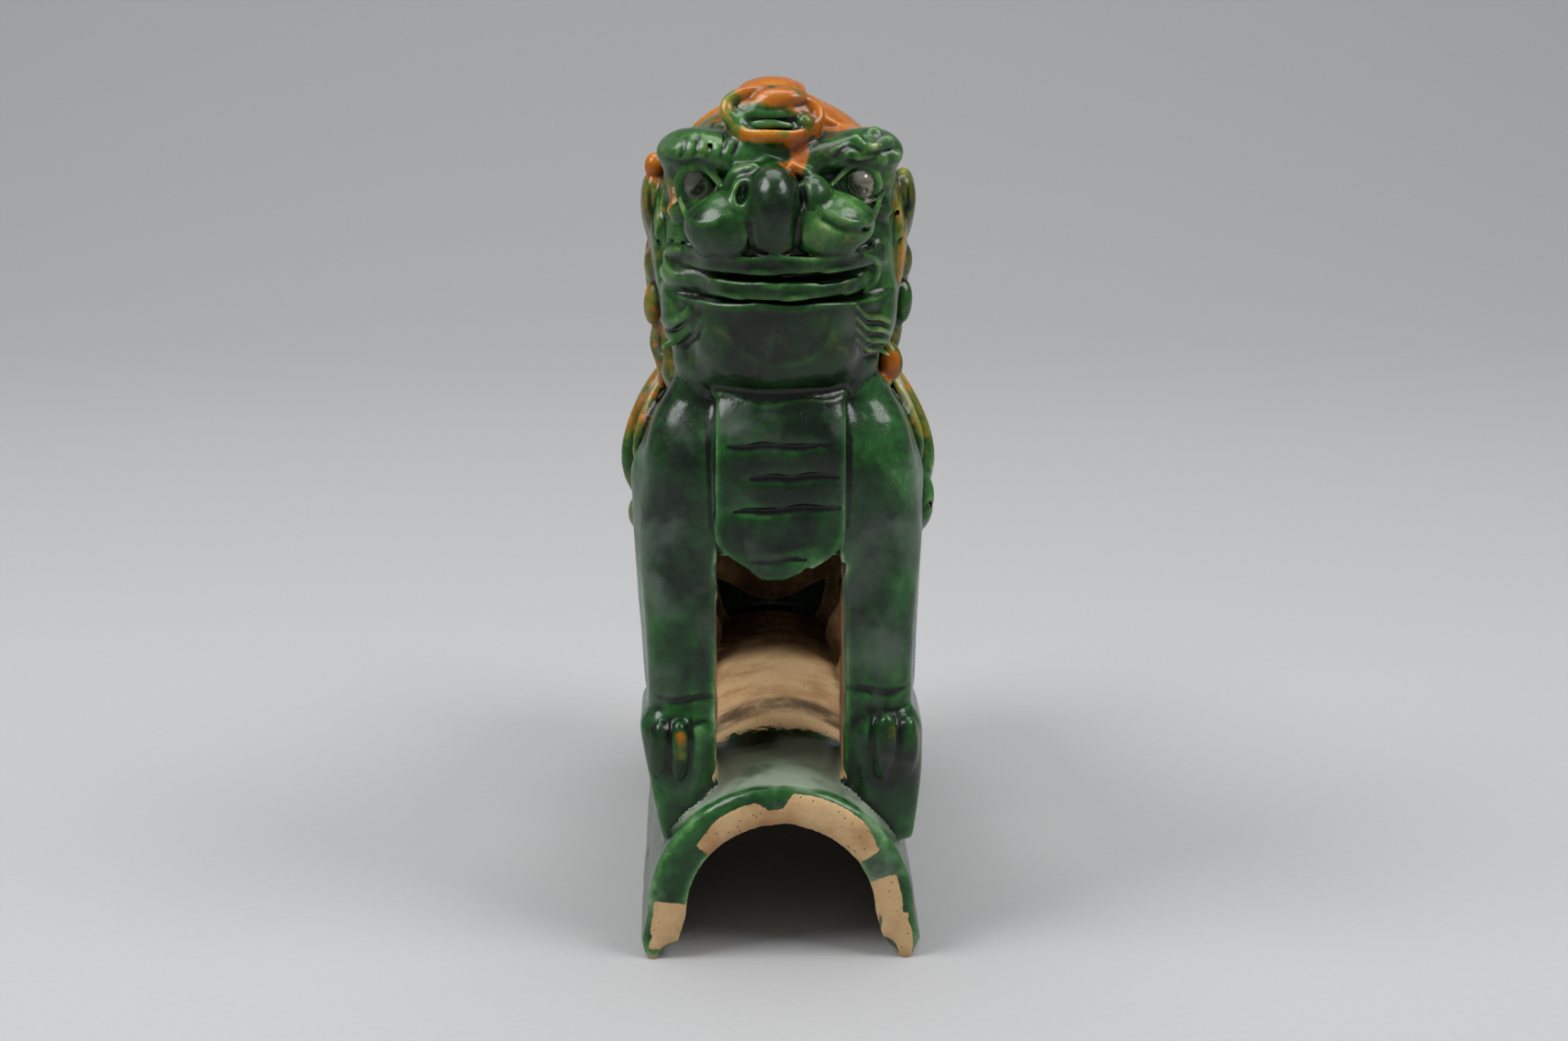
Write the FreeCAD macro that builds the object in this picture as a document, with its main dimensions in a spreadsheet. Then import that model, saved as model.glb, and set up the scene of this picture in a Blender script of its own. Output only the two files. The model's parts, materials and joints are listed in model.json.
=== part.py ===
"""Ridge-tile guardian lion: a glazed earthenware roof figure, built the way a tile maker builds it.

A half-round ridge tile is pulled over a drum. Two press-moulded halves make a hollow, open-bellied body
that stands astride it, and every other feature is a separately pressed or rolled piece of clay that is
luted on with slip: legs, paws, toes, head, jaw, lips, nose, eyes, brows, ears, mane and tail.

Frame: millimetres, +Z up, the lion looks along -Y, +X is on the right of someone facing it.
The origin is on the ground under the middle of the whole object.
"""
import FreeCAD
import Part
import math
import os
import Sketcher

from FreeCAD import Placement, Rotation, Vector

doc = FreeCAD.newDocument("ridge_lion")
sheet = doc.addObject("Spreadsheet::Sheet", "Dims")

# ---------------------------------------------------------------- driving dimensions, in millimetres
SIZES = {
    "tile_length": 240.0,
    "tile_middle_y": 5.0,      # the tile's middle, behind the origin by half the nose's overhang
    "tile_arch_radius": 47.0,
    "tile_height": 63.5,
    "tile_foot_width": 101.0,
    "tile_wall": 13.7,
    "tile_foot_wall": 12.5,
    "tile_edge_round": 3.0,
    "body_wall": 8.0,
    "belly_cut_z": 128.0,      # underside of the body's side walls, between the fore and hind legs
    "belly_cut_rear_y": 30.0,  # behind this the walls go down to the tile
    "rump_cut_half_width": 26.0,  # the rump is open to the tile as well, between its side walls
    "rump_cut_rear_y": 96.0,
    "rump_cut_z": 102.0,
    "chest_cut_z": 142.5,      # underside of the chest, between the forelegs
    "leg_gap": 45.5,           # clear width between the forelegs
    "leg_gap_depth": 47.0,     # how far back the gap between the forelegs runs
    "chest_front_y": -100.0,
    "foreleg_round": 8.0,      # radius of the leg's upright edges
    "paw_width": 27.0,
    "paw_depth": 50.0,
    "paw_front_y": -104.0,
    "paw_foot_z": 40.0,        # below the tile's crown, so the paw wraps over its side
    "paw_height": 47.5,
    "paw_round": 9.5,
    "head_wall": 8.0,
    "neck_hole_radius": 20.0,
    "mouth_depth": 60.0,       # how far back the lips' and teeth's slabs run
    "mouth_oval_half_height": 40.0,  # tall, so that the slabs cut from it have upright fronts
    "upper_lip_z": 246.3,
    "upper_lip_thick": 5.0,
    "upper_lip_half_width": 35.0,
    "teeth_z": 237.6,
    "teeth_thick": 5.2,
    "teeth_half_width": 30.5,
    "jaw_top_z": 235.2,
    "mouth_front_y": -121.0,
    "bib_width": 44.0,
    "bib_thick": 3.6,
    "bib_top_z": 203.0,
    "bib_foot_z": 138.0,
    "bib_back_y": -90.0,
    "bib_round": 15.0,
    "mane_thick": 5.0,
    "mane_front_y": -84.0,
    "mane_foot_z": 206.0,
}

# The body's cross sections, front to back: place along Y, half-width, top and foot of the outer surface.
BODY_SECTIONS = (
    (-110.0, 17.0, 186.0, 146.0),
    (-105.0, 33.0, 198.0, 134.0),
    (-92.0, 45.0, 206.0, 122.0),
    (-70.0, 50.0, 209.0, 116.0),
    (-45.0, 49.5, 206.0, 113.0),
    (-10.0, 46.5, 196.0, 104.0),
    (25.0, 46.5, 184.0, 88.0),
    (60.0, 48.0, 171.0, 62.0),
    (88.0, 45.0, 156.0, 38.0),
    (106.0, 32.0, 138.0, 38.0),
    (114.0, 14.0, 118.0, 54.0),
)

# The right foreleg's cross sections, foot to shoulder: height, outer side, front and back. Its inner
# side is the edge of the gap between the legs.
FORELEG_SECTIONS = (
    (72.0, 45.5, -99.0, -58.0),
    (98.0, 46.2, -100.0, -57.0),
    (124.0, 47.6, -101.0, -54.0),
    (146.0, 48.2, -100.0, -52.0),
    (168.0, 42.0, -94.0, -56.0),
)

# Lumps of clay: centre x, y, z, half-size x, y, z, and a tilt in degrees about X, Y and Z.
# A lump with a centre off the middle is the right-hand one of a pair; its twin is mirrored.
LUMPS = {
    "skull": ((0, -70, 248), (39.5, 42, 46), (0, 0, 0)),
    "jaw": ((0, -88, 235.2), (38, 32.5, 38.5), (0, 0, 0)),
    "muzzle_pad": ((15, -107, 261), (17, 14, 11.5), (0, 0, 0)),
    "nose": ((-2, -112, 268), (9, 13, 13), (0, 0, 0)),
    "nostril": ((11, -111, 270), (6.5, 8, 8), (0, 0, 0)),
    "eyeball": ((27.5, -94, 271), (6, 6.5, 7), (0, 0, 0)),
    "eyelid": ((28.5, -92, 264.5), (9.5, 7, 3.2), (0, 12, 0)),
    "brow": ((27, -88, 282.5), (14.5, 13, 7.5), (0, 3, 0)),
    "ear": ((42, -60, 257), (5.5, 9.5, 15), (8, 6, 0)),
    "cheek_fold": ((34, -88, 226), (6, 14, 12), (0, 0, 0)),
    "forehead_boss": ((-2, -93, 291), (15.5, 14, 8), (0, 0, 0)),
    "topknot": ((-2, -75, 294), (13, 18, 11), (0, 0, 0)),
    "haunch": ((33, 74, 97), (18, 39, 50), (0, 0, 0)),
    "hind_paw": ((37, 38, 55), (12.5, 24, 16), (0, 0, 0)),
    "elbow_tuft": ((48, -58, 148), (5.5, 8, 7), (0, 0, 0)),
}

# Rows of lumps that share a node: each entry is one lump, as above.
ROWS = {
    "forepaw_toes": (
        ((35.5, -102, 73), (3.8, 6, 11), (0, 0, 0)),
        ((43, -99.5, 72), (3.8, 6.5, 11), (0, 0, 0)),
    ),
    "hind_toes": (
        ((34, 17, 58), (4, 6, 9), (0, 0, 0)),
        ((42, 20, 57), (4, 6, 9), (0, 0, 0)),
    ),
    "side_locks": (
        ((42, -48, 232), (4.5, 8, 17), (0, 4, 0)),
        ((38.5, -63, 217), (5, 7, 13), (0, 4, 12)),
        ((36, -74, 204), (5, 6, 8), (0, 0, 0)),
    ),
}

# Strands of clay rolled between the palms, thin at both ends and laid on in rows: each strand is a list
# of x, y, z and radius, from its lower end upwards.
STRANDS = {
    "shoulder_flame": (
        ((51, -60, 159, 2.2), (51.5, -59, 166, 4.2), (49, -57, 181, 4.2), (42, -54, 195, 3.6),
         (36, -51, 204, 1.4)),
        ((51, -43, 156, 2.2), (51.5, -42, 163, 4.2), (49, -39, 178, 4.2), (42, -36, 192, 3.6),
         (36, -33, 201, 1.4)),
        ((50, -27, 147, 2.0), (50, -26, 155, 3.8), (47.5, -23, 169, 3.8), (42, -20, 181, 3.0),
         (37, -17, 189, 1.2)),
    ),
    "nape_locks": (
        ((27, 2, 193, 1.8), (27, -12, 197, 5.5), (27, -25, 208, 7.2), (26, -33, 225, 7.0),
         (23, -35, 242, 3.0)),
        ((9, 10, 197, 1.8), (9, -4, 201, 6.0), (9, -18, 211, 7.8), (9, -26, 227, 7.6),
         (8, -28, 245, 3.0)),
        ((-9, 10, 197, 1.8), (-9, -4, 201, 6.0), (-9, -18, 211, 7.8), (-9, -26, 227, 7.6),
         (-8, -28, 245, 3.0)),
        ((-27, 2, 193, 1.8), (-27, -12, 197, 5.5), (-27, -25, 208, 7.2), (-26, -33, 225, 7.0),
         (-23, -35, 242, 3.0)),
    ),
    "tail": (
        ((0, 104, 108, 7.0), (0, 112, 128, 10.5), (0, 112, 150, 11.0), (0, 101, 170, 9.5),
         (0, 84, 182, 6.5), (0, 68, 184, 2.0)),
    ),
    "tail_locks": (
        ((12, 108, 116, 3.0), (18, 107, 130, 6.0), (20, 101, 146, 5.5), (17, 92, 160, 2.0)),
        ((-12, 108, 116, 3.0), (-18, 107, 130, 6.0), (-20, 101, 146, 5.5), (-17, 92, 160, 2.0)),
    ),
}

AXES = "xyz"
FAR = 400.0  # reaches past the whole object, for boxes that only cut
SECTION_POINTS = 12  # points along half of a body section
SECTION_FULLNESS = 2.25  # 2 is an ellipse, more is squarer


def strand_cells(row, number, place):
    """The start of the names of the cells that hold one place on a strand."""
    return f"{row}{number}_place{place}"


def fill_sheet():
    """Writes each named number to a cell of its own and gives the cell that name."""
    named = dict(SIZES)
    for lump, (centre, half, tilt) in LUMPS.items():
        for axis, at, size, turn in zip(AXES, centre, half, tilt):
            named[f"{lump}_at_{axis}"] = at
            named[f"{lump}_half_{axis}"] = size
            named[f"{lump}_tilt_{axis}"] = turn
    for row, lumps in ROWS.items():
        for number, (centre, half, tilt) in enumerate(lumps, 1):
            for axis, at, size, turn in zip(AXES, centre, half, tilt):
                named[f"{row}{number}_at_{axis}"] = at
                named[f"{row}{number}_half_{axis}"] = size
                named[f"{row}{number}_tilt_{axis}"] = turn
    for row, strands in STRANDS.items():
        for number, places in enumerate(strands, 1):
            for place, (x, y, z, radius) in enumerate(places, 1):
                cells = strand_cells(row, number, place)
                named.update({f"{cells}_x": x, f"{cells}_y": y, f"{cells}_z": z, f"{cells}_radius": radius})
    for line, (name, value) in enumerate(named.items(), 1):
        sheet.set(f"A{line}", name)
        sheet.set(f"B{line}", str(value))
        sheet.setAlias(f"B{line}", name)
    doc.recompute()


def size(name):
    return float(sheet.get(name))


def bind(thing, **rules):
    """Ties properties of an object to cells: a double underscore in a rule's name stands for a dot."""
    for prop, rule in rules.items():
        thing.setExpression(prop.replace("__", "."), rule)
    return thing


# ---------------------------------------------------------------- building blocks
def lump(name, cells):
    """An ellipsoid of clay whose centre, half-sizes and tilt are read from the sheet."""
    ball = doc.addObject("Part::Ellipsoid", name)
    bind(
        ball,
        Radius1=f"Dims.{cells}_half_z",
        Radius2=f"Dims.{cells}_half_x",
        Radius3=f"Dims.{cells}_half_y",
    )
    turn = Rotation(*(size(f"{cells}_tilt_{axis}") for axis in reversed(AXES)))
    ball.Placement = Placement(Vector(*(size(f"{cells}_at_{axis}") for axis in AXES)), turn)
    bind(
        ball,
        Placement__Base__x=f"Dims.{cells}_at_x",
        Placement__Base__y=f"Dims.{cells}_at_y",
        Placement__Base__z=f"Dims.{cells}_at_z",
    )
    return ball


def strand(row, number):
    """A tapering roll of clay: round sections threaded on a curved line and skinned."""
    places = STRANDS[row][number - 1]
    points = [Vector(*place[:3]) for place in places]
    rings = []
    for place, point in enumerate(points, 1):
        before, after = points[max(place - 2, 0)], points[min(place, len(points) - 1)]
        cells = strand_cells(row, number, place)
        ring = doc.addObject("Part::Circle", f"{cells}_ring")
        ring.Placement = Placement(point, Rotation(Vector(0, 0, 1), after - before))
        bind(ring, Radius=f"Dims.{cells}_radius", Placement__Base__x=f"Dims.{cells}_x",
             Placement__Base__y=f"Dims.{cells}_y", Placement__Base__z=f"Dims.{cells}_z")
        rings.append(ring)
    skin = doc.addObject("Part::Loft", f"{row}{number}_roll")
    skin.Sections, skin.Solid, skin.Ruled = rings, True, False
    return skin


def block(name, low, high):
    """A box from one corner to the other, used to cut."""
    box = doc.addObject("Part::Box", name)
    box.Length, box.Width, box.Height = (h - l for l, h in zip(low, high))
    box.Placement.Base = Vector(*low)
    return box


def cut(name, base, *tools):
    """Base with every tool taken away, one after another."""
    for number, tool in enumerate(tools, 1):
        made = doc.addObject("Part::Cut", name if number == len(tools) else f"{name}_cut{number}")
        made.Base, made.Tool = base, tool
        base = made
    return base


def fuse(name, *shapes):
    made = doc.addObject("Part::MultiFuse", name)
    made.Shapes = list(shapes)
    return made


def common(name, *shapes):
    made = doc.addObject("Part::MultiCommon", name)
    made.Shapes = list(shapes)
    return made


def mirrored(name, source):
    """The left-hand twin of a right-hand piece."""
    made = doc.addObject("Part::Mirroring", name)
    made.Source, made.Base, made.Normal = source, Vector(0, 0, 0), Vector(1, 0, 0)
    return made


def group(name, *pieces):
    """Several separate lumps of clay as one sub-part."""
    made = doc.addObject("Part::Compound", name)
    made.Links = list(pieces)
    return made


def shaped(name, shape):
    made = doc.addObject("Part::Feature", name)
    made.Shape = shape
    return made


def section_wire(y, half_width, top, foot, inset):
    """The right-hand half of a body section: half an oval with flattened sides, closed down the middle."""
    middle, half_height = (top + foot) / 2, (top - foot) / 2 - inset
    points = []
    for step in range(SECTION_POINTS + 1):
        angle = math.pi / 2 - math.pi * step / SECTION_POINTS
        c = max(0.0, round(math.cos(angle), 9))
        s = math.sin(angle)
        x = c ** (2 / SECTION_FULLNESS) * (half_width - inset)
        z = math.copysign(abs(s) ** (2 / SECTION_FULLNESS), s) * half_height
        points.append(Vector(x, y, middle + z))
    curve = Part.BSplineCurve()
    curve.interpolate(points, InitialTangent=Vector(1, 0, 0), FinalTangent=Vector(-1, 0, 0))
    return Part.Wire([curve.toShape(), Part.makeLine(points[-1], points[0])])


def body_side(name, inset):
    """The right-hand half of the body as a solid, its skin moved inwards (or outwards) by an inset."""
    first, last = BODY_SECTIONS[0][0], BODY_SECTIONS[-1][0]
    middle = (first + last) / 2
    squeeze = 1 - 2 * inset / (last - first)
    wires = []
    for y, half_width, top, foot in BODY_SECTIONS:
        wires.append(section_wire(middle + (y - middle) * squeeze, half_width, top, foot, inset))
    return shaped(name, Part.makeLoft(wires, True, False))


def both_sides(name, right):
    """A right-hand solid joined to its mirrored twin."""
    return fuse(name, right, mirrored(f"{right.Label}_twin", right))


# ---------------------------------------------------------------- the ridge tile
def ridge_tile():
    """Half-round barrel tile: an arch section padded to the tile's length, with rounded feet and rims."""
    body = doc.addObject("PartDesign::Body", "ridge_tile")
    plane = next(f for f in body.Origin.OriginFeatures if f.Role == "XZ_Plane")
    sketch = body.newObject("Sketcher::SketchObject", "tile_section")
    sketch.AttachmentSupport, sketch.MapMode = (plane, ""), "FlatFace"
    radius, wall = size("tile_arch_radius"), size("tile_wall")
    spring = size("tile_height") - radius
    foot_out = size("tile_foot_width") / 2
    foot_in = foot_out - size("tile_foot_wall")
    inner = radius - wall
    centre, normal = Vector(0, spring, 0), Vector(0, 0, 1)

    def side(x_from, z_from, x_to, z_to):
        return Part.LineSegment(Vector(x_from, z_from, 0), Vector(x_to, z_to, 0))

    edges = [
        Part.ArcOfCircle(Part.Circle(centre, normal, radius), 0, math.pi),
        side(-radius, spring, -foot_out, 0),
        side(-foot_out, 0, -foot_in, 0),
        side(-foot_in, 0, -inner, spring),
        Part.ArcOfCircle(Part.Circle(centre, normal, inner), 0, math.pi),
        side(inner, spring, foot_in, 0),
        side(foot_in, 0, foot_out, 0),
        side(foot_out, 0, radius, spring),
    ]
    sketch.addGeometry(edges, False)
    joins = [(0, 2, 1, 1), (1, 2, 2, 1), (2, 2, 3, 1), (3, 2, 4, 2),
             (4, 1, 5, 1), (5, 2, 6, 1), (6, 2, 7, 1), (7, 2, 0, 1)]
    for first, first_end, second, second_end in joins:
        sketch.addConstraint(Sketcher.Constraint("Coincident", first, first_end, second, second_end))
    sketch.addConstraint(Sketcher.Constraint("PointOnObject", 0, 3, -2))
    sketch.addConstraint(Sketcher.Constraint("Coincident", 0, 3, 4, 3))
    for arc in (0, 4):
        for end in (1, 2):
            sketch.addConstraint(Sketcher.Constraint("Horizontal", arc, end, arc, 3))
    for foot in (2, 6):
        for end in (1, 2):
            sketch.addConstraint(Sketcher.Constraint("PointOnObject", foot, end, -1))
    rules = (
        ("Radius", (0,), radius, "Dims.tile_arch_radius"),
        ("Radius", (4,), inner, "Dims.tile_arch_radius - Dims.tile_wall"),
        ("DistanceY", (-1, 1, 0, 3), spring, "Dims.tile_height - Dims.tile_arch_radius"),
        ("DistanceX", (2, 1, -1, 1), foot_out, "Dims.tile_foot_width / 2"),
        ("DistanceX", (-1, 1, 6, 2), foot_out, "Dims.tile_foot_width / 2"),
        ("DistanceX", (2, 1, 2, 2), foot_out - foot_in, "Dims.tile_foot_wall"),
        ("DistanceX", (6, 1, 6, 2), foot_out - foot_in, "Dims.tile_foot_wall"),
    )
    for kind, places, value, rule in rules:
        index = sketch.addConstraint(Sketcher.Constraint(kind, *places, value))
        sketch.setExpression(f"Constraints[{index}]", rule)
    doc.recompute()
    pad = body.newObject("PartDesign::Pad", "tile_length_pad")
    pad.Profile, pad.Midplane = sketch, True
    bind(pad, Length="Dims.tile_length")
    body.Tip = pad
    doc.recompute()
    rims = [
        f"Edge{number}"
        for number, edge in enumerate(pad.Shape.Edges, 1)
        if edge.BoundBox.YLength > 1 and edge.BoundBox.ZMax < 1
    ]
    rounded = body.newObject("PartDesign::Fillet", "tile_feet_rounded")
    rounded.Base = (pad, rims)
    bind(rounded, Radius="Dims.tile_edge_round")
    body.Tip = rounded
    bind(body, Placement__Base__y="Dims.tile_middle_y")
    return body


def tile_filled():
    """The tile with its arch filled in, which the legs and haunches are trimmed to."""
    radius = size("tile_arch_radius")
    spring = size("tile_height") - radius
    long = size("tile_length")
    start = Vector(0, size("tile_middle_y") - long / 2, spring)
    drum = Part.makeCylinder(radius, long, start, Vector(0, 1, 0))
    foot = size("tile_foot_width") / 2
    corners = [Vector(x, start.y, z) for x, z in
               ((-radius, spring), (-foot, 0), (foot, 0), (radius, spring), (-radius, spring))]
    skirt = Part.Face(Part.makePolygon(corners)).extrude(Vector(0, long, 0))
    return shaped("tile_filled", drum.fuse(skirt).removeSplitter())


# ---------------------------------------------------------------- the body and legs
def body_halves(filled):
    """Two press-moulded halves: a hollow shell, open below, cut away between the legs."""
    side = body_side("body_side", 0.0)
    outer = both_sides("body_outer", side)
    inner = both_sides("body_inner", body_side("body_side_inner", size("body_wall")))
    half_gap = size("leg_gap") / 2
    front_y = size("chest_front_y")
    belly = block("belly_cut", (-FAR, front_y, -FAR), (FAR, size("belly_cut_rear_y"), size("belly_cut_z")))
    chest = block("chest_cut", (-half_gap, -FAR, -FAR),
                  (half_gap, front_y + size("leg_gap_depth"), size("chest_cut_z")))
    rump_half = size("rump_cut_half_width")
    rump = block("rump_cut", (-rump_half, size("belly_cut_rear_y") - 1, 0),
                 (rump_half, size("rump_cut_rear_y"), size("rump_cut_z")))
    neck = doc.addObject("Part::Cylinder", "neck_hole")
    bind(neck, Radius="Dims.neck_hole_radius")
    neck.Height = FAR
    neck.Placement.Base = Vector(0, size("skull_at_y"), size("belly_cut_z"))
    return outer, cut("body_half_right", side, inner, belly, rump, chest, neck, filled)


def rounded_outline(left, right, front, back, level, radius):
    """A rectangle with round corners, in the level plane."""
    corners = ((right, back), (left, back), (left, front), (right, front))
    middle_x, middle_y = (left + right) / 2, (front + back) / 2
    edges, last = [], None
    for number, (x, y) in enumerate(corners):
        inward_x = math.copysign(radius, middle_x - x)
        inward_y = math.copysign(radius, middle_y - y)
        centre = Vector(x + inward_x, y + inward_y, level)
        corner = Part.makeCircle(radius, centre, Vector(0, 0, 1), 90 * number, 90 * (number + 1))
        if last:
            edges.append(Part.makeLine(last, corner.valueAt(corner.FirstParameter)))
        edges.append(corner)
        last = corner.valueAt(corner.LastParameter)
    edges.append(Part.makeLine(last, edges[0].valueAt(edges[0].FirstParameter)))
    return Part.Wire(edges)


def foreleg(body, filled):
    """A straight column of solid clay on a block-shaped paw with two toes pressed on its outer half."""
    inner = size("leg_gap") / 2
    outlines = [rounded_outline(inner, outer, front, back, level, size("foreleg_round"))
                for level, outer, front, back in FORELEG_SECTIONS]
    pillar = shaped("foreleg_pillar", Part.makeLoft(outlines, True, False))
    box = doc.addObject("Part::Box", "paw_block")
    bind(box, Length="Dims.paw_width", Width="Dims.paw_depth", Height="Dims.paw_height",
         Placement__Base__x="Dims.leg_gap / 2", Placement__Base__y="Dims.paw_front_y",
         Placement__Base__z="Dims.paw_foot_z")
    doc.recompute()
    paw = doc.addObject("Part::Fillet", "paw_rounded")
    above = box.Shape.BoundBox.ZMin + 1
    paw.Base = box
    paw.Edges = [(number, size("paw_round"), size("paw_round"))
                 for number, edge in enumerate(box.Shape.Edges, 1) if edge.BoundBox.ZMax > above]
    column = cut("foreleg_right", pillar, paw, body, filled)
    toes = [lump(f"forepaw_toe{n}", f"forepaw_toes{n}") for n in (1, 2)]
    foot = cut("forepaw_right", paw, filled)
    pads = group("forepaw_toes_right", *(cut(f"{toe.Name}_pad", toe, paw, filled) for toe in toes))
    return column, foot, pads


def hind_leg(body, filled):
    """A round thigh pressed on to the body's side, with a flat paw in front of it."""
    thigh = lump("haunch_lump", "haunch")
    paw = lump("hind_paw_lump", "hind_paw")
    haunch = cut("haunch_right", thigh, body, filled)
    foot = cut("hind_paw_right", paw, thigh, body, filled)
    toes = [lump(f"hind_toe{n}", f"hind_toes{n}") for n in (1, 2)]
    pads = group("hind_toes_right", *(cut(f"{toe.Name}_pad", toe, paw, filled) for toe in toes))
    return thigh, haunch, foot, pads


def chest_bib(body, head_core):
    """The strap down the chest: the body's front, thickened, inside a round-ended outline."""
    proud = both_sides("bib_skin", body_side("bib_side", -size("bib_thick")))
    half, top, foot = size("bib_width") / 2, size("bib_top_z"), size("bib_foot_z")
    outline = block("bib_outline", (-half, -FAR, foot), (half, size("bib_back_y"), top))
    lower = [
        (number, size("bib_round"), size("bib_round"))
        for number, edge in enumerate(Part.makeBox(2 * half, FAR, top - foot).Edges, 1)
        if edge.BoundBox.YLength > 1 and edge.BoundBox.ZMax < 1
    ]
    rounded = doc.addObject("Part::Fillet", "bib_outline_rounded")
    rounded.Base, rounded.Edges = outline, lower
    slab = common("bib_slab", proud, rounded)
    return cut("chest_bib", slab, body, head_core)


# ---------------------------------------------------------------- the head
def mouth_slab(name, level, thick, half_width, head_core):
    """A flat tongue of clay with a rounded front, laid level in the mouth."""
    oval = doc.addObject("Part::Ellipsoid", f"{name}_oval")
    deep = size("mouth_depth") / 2
    oval.Radius1, oval.Radius2, oval.Radius3 = size("mouth_oval_half_height"), half_width, deep
    middle = level + thick / 2
    oval.Placement.Base = Vector(0, size("mouth_front_y") + deep, middle)
    layer = block(f"{name}_layer", (-FAR, -FAR, level), (FAR, FAR, level + thick))
    return cut(name, common(f"{name}_slab", oval, layer), head_core)


def head_parts(body):
    """A hollow two-part head and the pieces luted to its face."""
    skull = lump("skull_lump", "skull")
    hollow = doc.addObject("Part::Ellipsoid", "skull_hollow")
    for prop, axis in (("Radius1", "z"), ("Radius2", "x"), ("Radius3", "y")):
        bind(hollow, **{prop: f"Dims.skull_half_{axis} - Dims.head_wall"})
    hollow.Placement = skull.Placement
    neck = doc.addObject("Part::Cylinder", "head_hole")
    bind(neck, Radius="Dims.neck_hole_radius")
    neck.Height = size("skull_at_z") - size("belly_cut_z")
    neck.Placement.Base = Vector(0, size("skull_at_y"), size("belly_cut_z"))
    shell = cut("head_shell", skull, hollow, neck, body)
    middle = size("skull_at_y")
    face = common("face_mask", shell, block("keep_face", (-FAR, -FAR, -FAR), (FAR, middle, FAR)))
    back = common("head_back", shell, block("keep_back", (-FAR, middle, -FAR), (FAR, FAR, FAR)))
    return skull, face, back


def face_parts(skull, body):
    """Jaw, teeth, lip, muzzle, nose, eyes, lids and brows, each trimmed to what it is pressed on to."""
    made = []
    bowl = lump("jaw_lump", "jaw")
    above = block("jaw_above", (-FAR, -FAR, size("jaw_top_z")), (FAR, FAR, FAR))
    jaw = cut("lower_jaw", bowl, above, skull, body)
    lip = mouth_slab("upper_lip", size("upper_lip_z"), size("upper_lip_thick"),
                     size("upper_lip_half_width"), skull)
    teeth = mouth_slab("teeth_band", size("teeth_z"), size("teeth_thick"),
                       size("teeth_half_width"), skull)
    below = block("muzzle_below", (-FAR, -FAR, -FAR),
                  (FAR, FAR, size("upper_lip_z") + size("upper_lip_thick")))
    pad = lump("muzzle_pad_right", "muzzle_pad")
    pads = fuse("muzzle_pads", pad, mirrored("muzzle_pad_left", pad))
    muzzle = cut("muzzle", pads, below, skull)
    wing = lump("nostril_right", "nostril")
    bulb = fuse("nose_bulb", lump("nose_lump", "nose"), wing, mirrored("nostril_left", wing))
    nose = cut("nose", bulb, below, pads, skull)
    made += [jaw, lip, teeth, muzzle, nose]
    eye = lump("eye_lump", "eyeball")
    brow = lump("brow_lump", "brow")
    made += pair("brow", cut("brow_right", brow, skull))
    made += pair("eyeball", cut("eyeball_right", eye, brow, skull, pads, bulb))
    made += pair("eyelid", cut("eyelid_right", lump("lid_lump", "eyelid"), eye, skull, pads, bulb))
    fold = lump("fold_lump", "cheek_fold")
    made += pair("cheek_fold", cut("cheek_fold_right", fold, skull, bowl))
    return made, bowl, brow


def pair(name, right):
    """A right-hand piece and its mirrored twin."""
    return [right, mirrored(f"{name}_left", right)]


def row_of(name, side, *tools):
    """One row of lumps or strands, each trimmed to its neighbours and to the one before it in the row."""
    pieces, before = [], []
    for number in range(1, len(ROWS.get(name) or STRANDS[name]) + 1):
        if name in ROWS:
            one = lump(f"{name}{number}_lump", f"{name}{number}")
        else:
            one = strand(name, number)
        pieces.append(cut(f"{name}{number}_piece", one, *tools, *before))
        before = [one]
    return group(f"{name}{side}", *pieces)


def hair(skull, body, brow):
    """The mane over the crown, its hanging locks, the ears and the knob on the forehead."""
    cap = doc.addObject("Part::Ellipsoid", "mane_outer")
    for prop, axis in (("Radius1", "z"), ("Radius2", "x"), ("Radius3", "y")):
        bind(cap, **{prop: f"Dims.skull_half_{axis} + Dims.mane_thick"})
    cap.Placement = skull.Placement
    front = block("mane_front", (-FAR, -FAR, -FAR), (FAR, size("mane_front_y"), FAR))
    under = block("mane_under", (-FAR, -FAR, -FAR), (FAR, FAR, size("mane_foot_z")))
    boss = lump("boss_lump", "forehead_boss")
    knob = lump("knob_lump", "topknot")
    ear = lump("ear_lump", "ear")
    twin = mirrored("ear_lump_left", ear)
    brows = fuse("brow_lumps", brow, mirrored("brow_lump_left", brow))
    mane = cut("mane_cap", cap, skull, front, under, ear, twin, knob, boss, brows, body)
    made = [mane, cut("forehead_boss", boss, skull, knob, brows), cut("topknot", knob, skull)]
    made += pair("ear", cut("ear_right", ear, skull))
    made += pair("side_locks", row_of("side_locks", "_right", cap, skull, body, ear))
    made.append(row_of("nape_locks", "", cap, skull, body))
    return made, cap


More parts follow.
